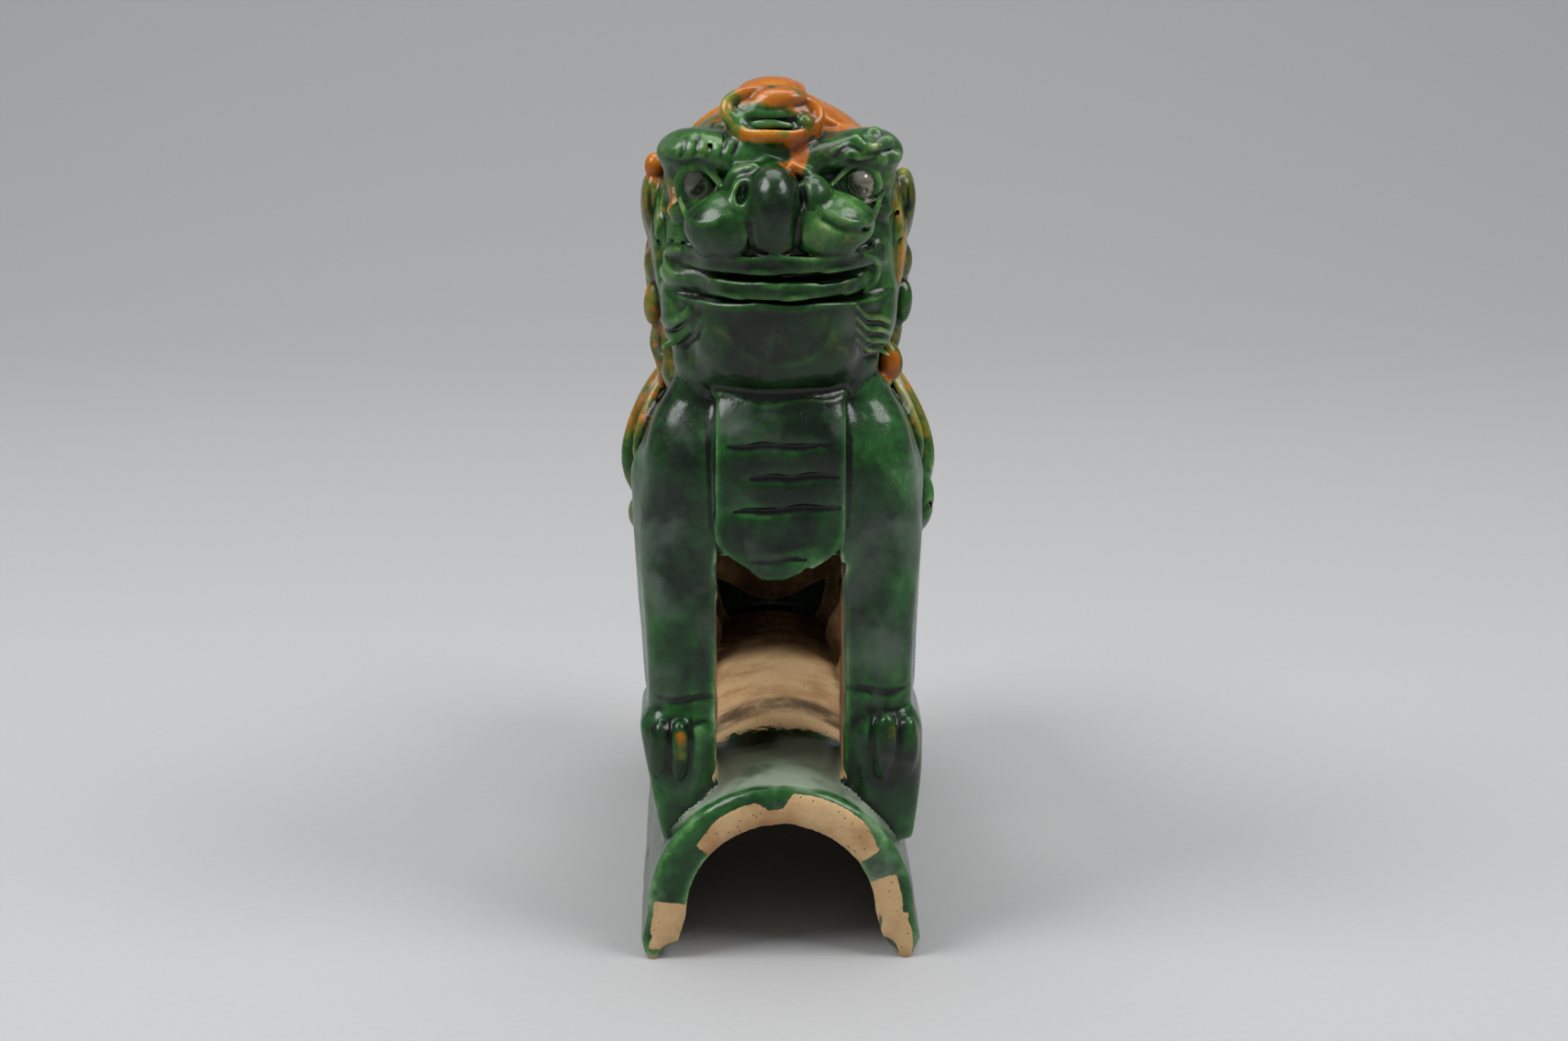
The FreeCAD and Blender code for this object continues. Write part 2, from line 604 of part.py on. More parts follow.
# ---------------------------------------------------------------- run
fill_sheet()
tile = ridge_tile()
filled = tile_filled()
body, body_right = body_halves(filled)
skull, face, back = head_parts(body)
column, paw, toes = foreleg(body, filled)
thigh, haunch, hind_paw, hind_toes = hind_leg(body, filled)
face_pieces, bowl, brow = face_parts(skull, body)
hair_pieces, cap = hair(skull, body, brow)
tail_roll = strand("tail", 1)
tail = cut("tail", tail_roll, body, filled)
nodes = [tile, *pair("body_half", body_right), face, back, tail, chest_bib(body, bowl)]
for name, piece in (("foreleg", column), ("forepaw", paw), ("forepaw_toes", toes),
                    ("haunch", haunch), ("hind_paw", hind_paw), ("hind_toes", hind_toes)):
    nodes += pair(name, piece)
nodes += face_pieces
nodes += hair_pieces
flame = row_of("shoulder_flame", "_right", body, cap)
nodes += pair("shoulder_flame", flame)
tuft = lump("elbow_tuft_lump", "elbow_tuft")
nodes += pair("elbow_tuft", cut("elbow_tuft_right", tuft, body, doc.getObject("foreleg_pillar")))
far_thigh = mirrored("haunch_lump_left", thigh)
nodes.append(row_of("tail_locks", "", tail_roll, body, filled, thigh, far_thigh))
doc.recompute()

for thing in doc.Objects:
    if "Invalid" in thing.State or "Error" in thing.State:
        raise RuntimeError(f"{thing.Label} could not be built: {thing.State}")
os.makedirs("parts", exist_ok=True)
for piece in nodes:
    shape = piece.Shape
    if shape.isNull() or not shape.isValid() or not shape.Solids:
        raise RuntimeError(f"{piece.Label} has no valid shape")
    print(f"{piece.Label:24s} {len(shape.Solids)} solids {shape.Volume / 1000:8.2f} cm3")
    shape.exportStep(f"parts/{piece.Label}.step")
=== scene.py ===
# %% [markdown]
# # A glazed guardian lion on its ridge tile
# This lesson builds the looks of a roof lion: a half-round ridge tile with a hollow lion standing
# astride it, pressed and modelled in buff clay, then dipped and brushed with green and amber lead glaze.
# The CAD model gives every piece its place. Here each piece is pressed into one body of clay, because a
# potter smooths the joins with slip, and the glaze then runs over all of them without a seam.

# %% Load the fixed frame
import json
import math

import bpy
import numpy as np
import openvdb
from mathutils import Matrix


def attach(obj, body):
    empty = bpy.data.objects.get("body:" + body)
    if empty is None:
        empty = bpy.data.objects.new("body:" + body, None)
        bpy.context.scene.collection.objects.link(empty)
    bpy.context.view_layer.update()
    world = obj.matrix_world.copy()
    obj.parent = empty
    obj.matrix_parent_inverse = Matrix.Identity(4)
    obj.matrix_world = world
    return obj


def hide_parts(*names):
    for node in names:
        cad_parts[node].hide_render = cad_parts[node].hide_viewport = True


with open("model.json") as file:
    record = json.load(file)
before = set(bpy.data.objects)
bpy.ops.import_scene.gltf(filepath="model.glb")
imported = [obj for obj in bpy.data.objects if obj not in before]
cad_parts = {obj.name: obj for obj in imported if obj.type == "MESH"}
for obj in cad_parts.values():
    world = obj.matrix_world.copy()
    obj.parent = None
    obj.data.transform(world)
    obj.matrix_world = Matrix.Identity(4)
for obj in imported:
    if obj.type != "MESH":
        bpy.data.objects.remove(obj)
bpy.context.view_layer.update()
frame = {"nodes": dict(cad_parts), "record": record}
MM = 0.001
NODES = sorted(frame["nodes"])

# %% [markdown]
# ## Clay that can be added to and cut
# Clay could be sculpted by hand, or built from meshes and booleans. Booleans leave hard creases, and a
# potter's joins are soft. So the clay is a block of space sampled on an even lattice, and each sample
# holds its distance to the surface, below zero inside. Two lumps then join with a soft minimum of their
# distances, which leaves a fillet, and a groove is a soft maximum with the tool's distance turned round.
# Every sample also remembers which CAD node is nearest, so the body can be parted again at the end.

# %% A block of clay
FAR_AWAY = 30.0  # millimetres: a distance that means "nothing near"
BAND = 8  # samples on each side of a CAD surface whose distance is worked out


class Clay:
    def __init__(self, low, high, step):
        self.low = np.array(low, float)
        self.step = step
        self.counts = np.array([int(round((b - a) / step)) + 1 for a, b in zip(low, high)])
        self.field = np.full(self.counts, FAR_AWAY, np.float32)
        self.nearest = np.full(self.counts, FAR_AWAY, np.float32)
        self.owner = np.zeros(self.counts, np.uint8)

    def window(self, low, high):
        """The samples between two corners, as slices and as three thin coordinate arrays."""
        first = np.clip(np.floor((np.array(low) - self.low) / self.step), 0, self.counts).astype(int)
        last = np.clip(np.ceil((np.array(high) - self.low) / self.step) + 1, 0, self.counts).astype(int)
        part = tuple(slice(a, max(a, b)) for a, b in zip(first, last))
        axes = [self.low[i] + self.step * np.arange(part[i].start, part[i].stop) for i in range(3)]
        return part, np.meshgrid(*axes, indexing="ij", sparse=True)

    def join(self, node, part, made, blend, lead=0.0):
        """Adds clay that belongs to a CAD node, with a fillet about as wide as blend."""
        old = self.field[part]
        mix = np.clip(0.5 + 0.5 * (old - made) / blend, 0, 1)
        self.field[part] = old + (made - old) * mix - blend * mix * (1 - mix)
        mine = made - lead < self.nearest[part]
        self.nearest[part] = np.where(mine, made - lead, self.nearest[part])
        self.owner[part] = np.where(mine, NODES.index(node), self.owner[part])

    def cut(self, part, made, blend):
        """Cuts a tool's shape out of the clay."""
        old = self.field[part]
        mix = np.clip(0.5 + 0.5 * (old + made) / blend, 0, 1)
        self.field[part] = -made + (old + made) * mix + blend * mix * (1 - mix)

    def cast(self, node, shape, blend, lead=0.0):
        """Adds a closed mesh: the CAD node's own, or one made for it."""
        points, triangles = shape
        edge = BAND * self.step
        part, _ = self.window(points.min(0) - edge, points.max(0) + edge)
        if min(p.stop - p.start for p in part) < 2:
            return
        self.join(node, part, self.sampled(points, triangles, part), blend, lead)

    def sampled(self, points, triangles, part):
        """The distances of a closed mesh at the samples of a window."""
        lattice = openvdb.createLinearTransform(voxelSize=self.step)
        grid = openvdb.FloatGrid.createLevelSetFromPolygons(
            (points - self.low).astype(np.float32), triangles=triangles, transform=lattice, halfWidth=BAND
        )
        made = np.empty([p.stop - p.start for p in part], np.float32)
        grid.copyToArray(made, ijk=tuple(p.start for p in part))
        return made

    def settle(self, points, axis, sign, sink=0.0):
        """Slides points along an axis until they meet the clay, then sinks them in.

        A point that meets nothing, or only the far wall through an opening, goes as far as its nearest
        neighbour that does.
        """
        settled, met = [], []
        for number, point in enumerate(points):
            place = (np.array(point, float) - self.low) / self.step
            index = [int(np.clip(round(v), 0, n - 1)) for v, n in zip(place, self.counts)]
            index[axis] = slice(None)
            column = self.field[tuple(index)][:: 1 if sign > 0 else -1]
            inside = np.nonzero(column < 0)[0]
            moved = np.array(point, float)
            if len(inside) and inside[0] > 0:
                hit = inside[0]
                along = hit - 1 + column[hit - 1] / (column[hit - 1] - column[hit])
                along = along if sign > 0 else len(column) - 1 - along
                moved[axis] = self.low[axis] + self.step * along + sign * sink
                met.append(number)
            settled.append(moved)
        settled = np.array(settled)
        if met:
            depth = sign * settled[:, axis]
            met = [number for number in met if depth[number] < min(depth[met]) + FAR_AWAY]
            nearest = [min(met, key=lambda other: abs(other - number)) for number in range(len(settled))]
            settled[:, axis] = settled[nearest, axis]
        return settled


def cad_mesh(node):
    """A CAD node's corners in millimetres and its triangles."""
    return mesh_arrays(frame["nodes"][node].data)


def mesh_arrays(mesh):
    """A mesh's corners in millimetres and its triangles."""
    mesh.calc_loop_triangles()
    points = np.empty(len(mesh.vertices) * 3, np.float32)
    mesh.vertices.foreach_get("co", points)
    triangles = np.empty(len(mesh.loop_triangles) * 3, np.int32)
    mesh.loop_triangles.foreach_get("vertices", triangles)
    return points.reshape(-1, 3) / MM, triangles.reshape(-1, 3).astype(np.uint32)


# %% [markdown]
# ## The potter's hand tools
# Three tools make nearly everything: a ball or egg pressed on, a roll of clay laid along a line, and a
# wooden point drawn along a line. A roll is a row of balls that shrink and grow, joined by cones, so a
# few given points are first run through a smooth curve. The same roll, taken away instead of
# added, is the mark of the wooden point. A line drawn on the skin is given well in front of it, at y -124
# or -130, or beside it, at x 80, and slides in until it touches, so only its other two numbers matter.

# %% Eggs, rolls and scribed lines
SIDES = {"right": 1, "left": -1}


def turned(tilt):
    """A rotation matrix from degrees about X, then Y, then Z."""
    a, b, c = (math.radians(v) for v in tilt)
    about_x = np.array([[1, 0, 0], [0, math.cos(a), -math.sin(a)], [0, math.sin(a), math.cos(a)]])
    about_y = np.array([[math.cos(b), 0, math.sin(b)], [0, 1, 0], [-math.sin(b), 0, math.cos(b)]])
    about_z = np.array([[math.cos(c), -math.sin(c), 0], [math.sin(c), math.cos(c), 0], [0, 0, 1]])
    return about_z @ about_y @ about_x


def egg(clay, centre, half, tilt=(0, 0, 0), reach=6.0):
    """The distances to an egg, in the window around it."""
    centre, half, turn = np.array(centre, float), np.array(half, float), turned(tilt).T
    size = max(half) + reach
    part, (x, y, z) = clay.window(centre - size, centre + size)
    u, v, w = (turn[i, 0] * (x - centre[0]) + turn[i, 1] * (y - centre[1]) + turn[i, 2] * (z - centre[2])
               for i in range(3))
    near = np.sqrt((u / half[0]) ** 2 + (v / half[1]) ** 2 + (w / half[2]) ** 2)
    steep = np.sqrt((u / half[0] ** 2) ** 2 + (v / half[1] ** 2) ** 2 + (w / half[2] ** 2) ** 2)
    return part, (near * (near - 1) / np.maximum(steep, 1e-6)).astype(np.float32)


def smooth_path(points, between=5):
    """More points along a smooth curve through all the given ones; every column is carried along."""
    points = np.array(points, float)
    padded = np.vstack([2 * points[0] - points[1], points, 2 * points[-1] - points[-2]])
    path = []
    for a, b, c, d in zip(padded, padded[1:], padded[2:], padded[3:]):
        for step in range(between):
            t = step / between
            path.append(0.5 * (2 * b + (c - a) * t + (2 * a - 5 * b + 4 * c - d) * t * t
                               + (3 * b - a - 3 * c + d) * t ** 3))
    path.append(points[-1])
    return np.array(path)


def roll(clay, points, radii, reach=5.0):
    """The distances to a roll of clay along a smooth line. Radii is one number or one for each point."""
    radii = np.broadcast_to(np.array(radii, float), len(points))
    path = smooth_path(np.column_stack([np.array(points, float), radii]))
    path[:, 3] = np.maximum(path[:, 3], 0.05)
    wide = path[:, 3].max() + reach
    part, _ = clay.window(path[:, :3].min(0) - wide, path[:, :3].max(0) + wide)
    made = np.full([p.stop - p.start for p in part], FAR_AWAY, np.float32)
    for a, b in zip(path[:-1], path[1:]):
        near = max(a[3], b[3]) + reach
        piece, (x, y, z) = clay.window(np.minimum(a, b)[:3] - near, np.maximum(a, b)[:3] + near)
        inner = tuple(slice(q.start - p.start, q.stop - p.start) for p, q in zip(part, piece))
        run = (b - a)[:3]
        share = ((x - a[0]) * run[0] + (y - a[1]) * run[1] + (z - a[2]) * run[2]) / max(run @ run, 1e-9)
        share = np.clip(share, 0, 1)
        gap = np.sqrt((x - a[0] - share * run[0]) ** 2 + (y - a[1] - share * run[1]) ** 2
                      + (z - a[2] - share * run[2]) ** 2) - (a[3] + (b[3] - a[3]) * share)
        made[inner] = np.minimum(made[inner], gap)
    return part, made


def slab(clay, low, high, rounding=1.0, reach=4.0):
    """The distances to a box with rounded edges."""
    low, high = np.minimum(low, high).astype(float), np.maximum(low, high).astype(float)
    part, grid = clay.window(low - reach, high + reach)
    middle, half = (low + high) / 2, (high - low) / 2 - rounding
    over = [np.abs(g - m) - h for g, m, h in zip(grid, middle, half)]
    outside = np.sqrt(sum(np.maximum(o, 0) ** 2 for o in over))
    inside = np.minimum(np.maximum(np.maximum(over[0], over[1]), over[2]), 0)
    return part, (outside + inside - rounding).astype(np.float32)


def flipped(points, side):
    """Right-hand points, or their mirror image for the left."""
    return [(point[0] * SIDES[side], *point[1:]) for point in points]


def scribe(clay, points, radius, axis=1, sign=1, sink=0.0, blend=0.6):
    """Draws a wooden point over the skin: the line is settled on the clay, then cut."""
    part, made = roll(clay, clay.settle(points, axis, sign, sink), radius)
    clay.cut(part, made, blend)


def lay(clay, node, points, radii, axis=1, sign=1, sink=0.0, blend=1.2):
    """Lays a roll on the skin and presses it down."""
    part, made = roll(clay, clay.settle(points, axis, sign, sink), radii)
    clay.join(node, part, made, blend)


def press(clay, node, points, radii, blend=1.5):
    """Joins a roll that hangs free of the skin."""
    clay.join(node, *roll(clay, points, radii), blend)


# %% [markdown]
# ## Hand-made unevenness
# Nothing pressed by hand is exact. A fixed table of random numbers on a coarse lattice, smoothed to the
# fine one, swells and sinks the surface by a fraction of a millimetre. The table covers the whole object,
# so blocks of clay that meet get the same unevenness where they meet.

# %% Waviness
WAVE_LOW, WAVE_HIGH = np.array([-80.0, -150.0, -20.0]), np.array([80.0, 150.0, 330.0])


def blend_rows(count, places):
    """How much of each coarse row goes into each fine place: a smooth bump four rows wide."""
    offsets = np.abs(places[:, None] - np.arange(count)[None, :])
    near = (4 - 6 * offsets ** 2 + 3 * offsets ** 3) / 6
    far = (2 - np.minimum(offsets, 2)) ** 3 / 6
    return np.where(offsets < 1, near, far).astype(np.float32)


def waviness(clay, length, seed):
    """Smooth random swelling between about -1 and 1, with bumps about as far apart as length."""
    counts = np.ceil((WAVE_HIGH - WAVE_LOW) / length).astype(int) + 4
    waves = np.random.default_rng(seed).uniform(-1.7, 1.7, counts).astype(np.float32)
    for axis in range(3):
        places = (clay.low[axis] + clay.step * np.arange(clay.counts[axis]) - WAVE_LOW[axis]) / length + 1.5
        waves = np.tensordot(blend_rows(counts[axis], places), waves, axes=(1, axis))
        waves = np.moveaxis(waves, 0, axis)
    return waves


# %% [markdown]
# ## Parting the clay into its pieces
# A plain surface net turns the distances into faces: one point in each lattice cell that the surface
# passes through, and one face across each lattice edge that joins two different samples. Here "different"
# also means belonging to different nodes, so the net makes the outside skin and the walls between pieces
# at once, and neighbours share their edge points exactly. Each piece is closed, and no seam shows.

# %% Surface net
CORNERS = np.array([(i, j, k) for i in (0, 1) for j in (0, 1) for k in (0, 1)])
RING = ((0, 0), (1, 0), (1, 1), (0, 1))
EDGES = [(a, b) for a in range(8) for b in range(a + 1, 8) if abs(CORNERS[a] - CORNERS[b]).sum() == 1]


def cells_of(clay, kind):
    """The lattice cells that hold a surface, their points in lattice units, and a map from cell to
    point."""
    low = high = None
    for i, j, k in CORNERS:
        n = clay.counts - 1
        seen = kind[i:i + n[0], j:j + n[1], k:k + n[2]]
        low = seen.copy() if low is None else np.minimum(low, seen)
        high = seen.copy() if high is None else np.maximum(high, seen)
    cells = np.argwhere(low != high)
    skin = (low == 0)[tuple(cells.T)]
    index = np.full(clay.counts - 1, -1, np.int32)
    index[tuple(cells.T)] = np.arange(len(cells), dtype=np.int32)
    values = np.stack([clay.field[tuple((cells + c).T)] for c in CORNERS], 1)
    total, hits = np.zeros((len(cells), 3)), np.zeros(len(cells))
    for a, b in EDGES:
        crossed = (values[:, a] < 0) != (values[:, b] < 0)
        gap = values[:, a] - values[:, b]
        share = np.where(crossed, values[:, a] / np.where(crossed, gap, 1), 0)[:, None]
        total += np.where(crossed[:, None], CORNERS[a] + share * (CORNERS[b] - CORNERS[a]), 0)
        hits += crossed
    inner = np.where(hits[:, None] > 0, total / np.maximum(hits, 1)[:, None], 0.5)
    return cells, cells + inner, skin, index


def sample(block, places):
    """A block's value at places given in lattice units, by blending the eight samples around each."""
    base = np.clip(np.floor(places).astype(int), 0, np.array(block.shape) - 2)
    part = np.clip(places - base, 0, 1)
    total = 0
    for corner in CORNERS:
        weight = np.prod(np.where(corner, part, 1 - part), 1)
        total = total + weight * block[tuple((base + corner).T)]
    return total


def slopes(block, places):
    """The block's gradient at places, from samples one step either side."""
    steps = np.eye(3)
    return np.stack([sample(block, places + s) - sample(block, places - s) for s in steps], 1) / 2


def faces_between(kind, index):
    """Every face of the net: its four cells, the kind below it and the kind above it."""
    quads, below, above = [], [], []
    for axis, ring in enumerate((RING, RING[::-1], RING)):
        others = [a for a in range(3) if a != axis]
        first = tuple(slice(0, -1) if a == axis else slice(1, -1) for a in range(3))
        second = tuple(slice(1, None) if a == axis else slice(1, -1) for a in range(3))
        low, high = kind[first], kind[second]
        spots = np.nonzero(low != high)
        cell = np.stack(spots, 1)
        corners = []
        for u, v in ring:
            moved = cell.copy()
            moved[:, others] += (u, v)
            corners.append(index[tuple(moved.T)])
        quads.append(np.stack(corners, 1))
        below.append(low[spots])
        above.append(high[spots])
    return np.concatenate(quads), np.concatenate(below), np.concatenate(above)


def softened(block, radius, times=2):
    """A block with every sample averaged over its neighbours."""
    width = 2 * radius + 1
    for axis in [0, 1, 2] * times:
        ends = [(0, 0)] * 3
        ends[axis] = (radius, radius)
        padded = np.pad(block, ends, mode="edge")
        count = block.shape[axis]
        block = sum(padded[tuple(slice(k, k + count) if a == axis else slice(None) for a in range(3))]
                    for k in range(width)) / np.float32(width)
    return block


def part_clay(clay, shown):
    """Parts a block into closed meshes, one for each shown node: points, faces, normals and hollowness."""
    kind = np.where(clay.field < 0, clay.owner + 1, 0).astype(np.uint8)
    cells, places, skin, index = cells_of(clay, kind)
    for _ in range(2):
        slope = slopes(clay.field, places)
        off = sample(clay.field, places) / np.maximum((slope ** 2).sum(1), 0.05)
        places[skin] = np.clip(places - off[:, None] * slope, cells, cells + 1)[skin]
    quads, below, above = faces_between(kind, index)
    # the fold tells of creases a millimetre or two wide, and the valley of hollows about twice as wide
    wide = softened(np.clip(clay.field, -4, 4), 2)
    fine = softened(np.clip(clay.field, -2, 2), 1)
    slope = slopes(fine, places)
    normals = slope / np.maximum(np.linalg.norm(slope, axis=1), 1e-6)[:, None]
    hollow = {"fold": sample(fine, places), "valley": sample(wide, places)}
    points = clay.low + clay.step * places
    made = {}
    for name in shown:
        mark = NODES.index(name) + 1
        mine = np.concatenate([quads[below == mark], quads[above == mark][:, ::-1]])
        if not len(mine):
            continue
        used, faces = np.unique(mine, return_inverse=True)
        made[name] = {
            "points": points[used], "faces": faces.reshape(-1, 4), "normals": normals[used],
            **{key: value[used] for key, value in hollow.items()},
        }
    return made


# %% [markdown]
# ## Strands rolled between the palms
# Hair on such a lion is laid on as thin tapering strands. Each could be modelled on its own, but they all
# follow one rule: a line, a thickness that swells and tapers, and a slight wander. A Geometry Nodes tree
# holds that rule, and the lines are its only input. The strands are then pressed into the clay.

# %% Geometry Nodes: strands
def add(tree, kind, inputs=(), **settings):
    """Adds a node with its settings, and gives each input a link or a value."""
    made = tree.nodes.new(kind)
    for name, value in settings.items():
        setattr(made, name, value)
    for key, value in dict(inputs).items():
        if isinstance(value, bpy.types.NodeSocket):
            tree.links.new(value, made.inputs[key])
        else:
            made.inputs[key].default_value = value
    return made


def strand_tree():
    """Lines in, tapering wandering strands out."""
    tree = bpy.data.node_groups.new("rolled_strands", "GeometryNodeTree")
    sockets = (("Lines", "NodeSocketGeometry", None), ("Step length", "NodeSocketFloat", 0.0015),
               ("Wander", "NodeSocketFloat", 0.0008), ("Wander length", "NodeSocketFloat", 0.012),
               ("Seed", "NodeSocketInt", 7), ("Finish", "NodeSocketMaterial", None))
    for name, kind, value in sockets:
        socket = tree.interface.new_socket(name, in_out="INPUT", socket_type=kind)
        if value is not None:
            socket.default_value = value
    tree.interface.new_socket("Strands", in_out="OUTPUT", socket_type="NodeSocketGeometry")
    given = add(tree, "NodeGroupInput").outputs
    fine = add(tree, "GeometryNodeResampleCurve", {"Curve": given["Lines"], "Length": given["Step length"]},
               mode="LENGTH")
    place = add(tree, "GeometryNodeInputPosition")
    rate = add(tree, "ShaderNodeMath", {0: 1.0, 1: given["Wander length"]}, operation="DIVIDE")
    random = add(tree, "ShaderNodeTexNoise", {"Vector": place.outputs[0], "W": given["Seed"],
                                              "Scale": rate.outputs[0], "Detail": 1.0},
                 noise_dimensions="4D")
    middle = add(tree, "ShaderNodeVectorMath", {0: random.outputs["Color"], 1: (0.5, 0.5, 0.5)},
                 operation="SUBTRACT")
    swing = add(tree, "ShaderNodeVectorMath", {0: middle.outputs[0], "Scale": given["Wander"]},
                operation="SCALE")
    moved = add(tree, "GeometryNodeSetPosition", {"Geometry": fine.outputs[0], "Offset": swing.outputs[0]})
    ring = add(tree, "GeometryNodeCurvePrimitiveCircle", {"Resolution": 14, "Radius": 1.0})
    width = add(tree, "GeometryNodeInputRadius")
    skin = add(tree, "GeometryNodeCurveToMesh", {
        "Curve": moved.outputs[0], "Profile Curve": ring.outputs[0], "Scale": width.outputs[0],
        "Fill Caps": True,
    })
    real = add(tree, "GeometryNodeRealizeInstances", {"Geometry": skin.outputs[0]})
    done = add(tree, "GeometryNodeSetMaterial", {"Geometry": real.outputs[0], "Material": given["Finish"]})
    add(tree, "NodeGroupOutput", {0: done.outputs[0]})
    return tree


STRAND_TREE = strand_tree()


def strands(name, lines, wander=0.8, seed=7):
    """Runs the tree on lines of (x, y, z, radius) in millimetres, and keeps the mesh as plain arrays."""
    curve = bpy.data.curves.new(name, "CURVE")
    curve.dimensions = "3D"
    for line in lines:
        path = smooth_path(line)
        spline = curve.splines.new("POLY")
        spline.points.add(len(path) - 1)
        for point, (x, y, z, radius) in zip(spline.points, path):
            point.co, point.radius = (x * MM, y * MM, z * MM, 1), max(radius, 0.2) * MM
    holder = bpy.data.objects.new(name, curve)
    bpy.context.scene.collection.objects.link(holder)
    modifier = holder.modifiers.new("rolled_strands", "NODES")
    modifier.node_group = STRAND_TREE
    inputs = {s.name: s.identifier for s in STRAND_TREE.interface.items_tree if s.in_out == "INPUT"}
    modifier[inputs["Wander"]] = wander * MM
    modifier[inputs["Seed"]] = seed
    graph = bpy.context.evaluated_depsgraph_get()
    mesh = bpy.data.meshes.new_from_object(holder.evaluated_get(graph), depsgraph=graph)
    arrays = mesh_arrays(mesh)
    bpy.data.objects.remove(holder)
    bpy.data.meshes.remove(mesh)
    print(f"{name}: {len(lines)} strands, {len(arrays[1])} triangles")
    return arrays


def mirrored_lines(lines):
    """Right-hand strands, turned over for the left."""
    return [[(-x, *rest) for x, *rest in line] for line in lines]


TOPKNOT = [
    [(-12 + 3.4 * k, -93 + 3 * abs(k - 3), 293 + 0.5 * k * (6 - k) / 3, 1.2),
     (-11 + 3.1 * k, -86, 299 + 0.6 * k * (6 - k) / 3, 2.2),
     (-9 + 2.6 * k + math.sin(2.1 * k), -74, 301.5 + 0.8 * math.sin(1.7 * k), 2.4),
     (-10 + 2.8 * k, -62, 299.5, 2.1), (-12 + 3.4 * k, -52, 296, 1.2)]
    for k in range(7)
]
DOME = (44.0, 45.5, 49.5)  # half the head's width, depth and height where the locks lie


def combed(rows, low, count, fan):
    """Locks that run from the crown down the back of the head, fanning out over some degrees."""
    lines = []
    for row in range(rows):
        turn = (row / (rows - 1) - 0.5) * fan
        line = []
        for step in range(count):
            fall = step / (count - 1)
            tip = math.radians(10 + 105 * fall)
            side = math.radians(turn) * (0.55 + 0.45 * fall)
            x = math.sin(side) * math.sin(tip) * DOME[0]
            y = -70 + math.cos(side) * math.sin(tip) * DOME[1] - 2 * (1 - fall)
            z = 248 + math.cos(tip) * DOME[2]
            swell = math.sin(math.pi * min(1, fall + 0.12)) ** 0.5
            thick = 0.9 + 3.0 * swell * (0.75 + 0.25 * math.cos(row * 2.4))
            line.append((x, y, max(z, low), thick))
        lines.append(line)
    return lines


NAPE = combed(13, 226, 9, 172)
FLAME = [
    [(51, -60, 156, 1.5), (52, -59, 166, 2.6), (49.6, -57, 181, 2.6), (43, -54, 195, 2.2),
     (36, -51, 204, 1.0)],
    [(49, -66, 166, 1.2), (49.5, -66, 173, 2.2), (47.8, -64, 183, 2.2), (43.4, -61, 193, 1.8),
     (38, -58, 201, 1.0)],
    [(53, -52, 157, 1.2), (53.2, -51, 165, 2.4), (50.5, -49, 178, 2.4), (44, -46, 191, 2.0),
     (37, -43, 200, 1.0)],
    [(52, -43, 155, 1.2), (52.4, -42, 163, 2.5), (49.6, -39, 178, 2.4), (43, -36, 191, 2.0),
     (37, -33, 199, 1.0)],
    [(50.6, -33, 150, 1.2), (51, -33, 159, 2.3), (48.6, -31, 172, 2.3), (43, -28, 184, 1.9),
     (37, -25, 193, 1.0)],
    [(49.5, -25, 148, 1.2), (50, -24, 156, 2.2), (47.6, -21, 168, 2.2), (42, -18, 179, 1.8),
     (37, -15, 188, 1.0)],
]
TAIL = [
    [(6 * math.sin(a), 104, 110, 1.5), (10 * math.sin(a), 112 + 9 * math.cos(a), 130, 3.2),
     (10 * math.sin(a + 0.4), 112 + 10 * math.cos(a + 0.4), 150, 3.4),
     (8 * math.sin(a + 0.8), 102 + 6 * math.cos(a + 0.8), 169 + 6 * math.cos(a + 0.8), 2.8),
     (4 * math.sin(a + 1.0), 84, 184 + 3 * math.cos(a), 2.0), (0, 69, 186, 0.8)]
    for a in np.linspace(-1.5, 1.5, 6)
]
STRANDS = {
    "topknot": strands("topknot_strands", TOPKNOT, 1.6, 3),
    "nape_locks": strands("nape_strands", NAPE, 1.6, 5),
    "shoulder_flame_right": strands("right_flame_strands", FLAME, 1.2, 9),
    "shoulder_flame_left": strands("left_flame_strands", mirrored_lines(FLAME), 1.2, 12),
    "tail": strands("tail_strands", TAIL, 1.5, 14),
}
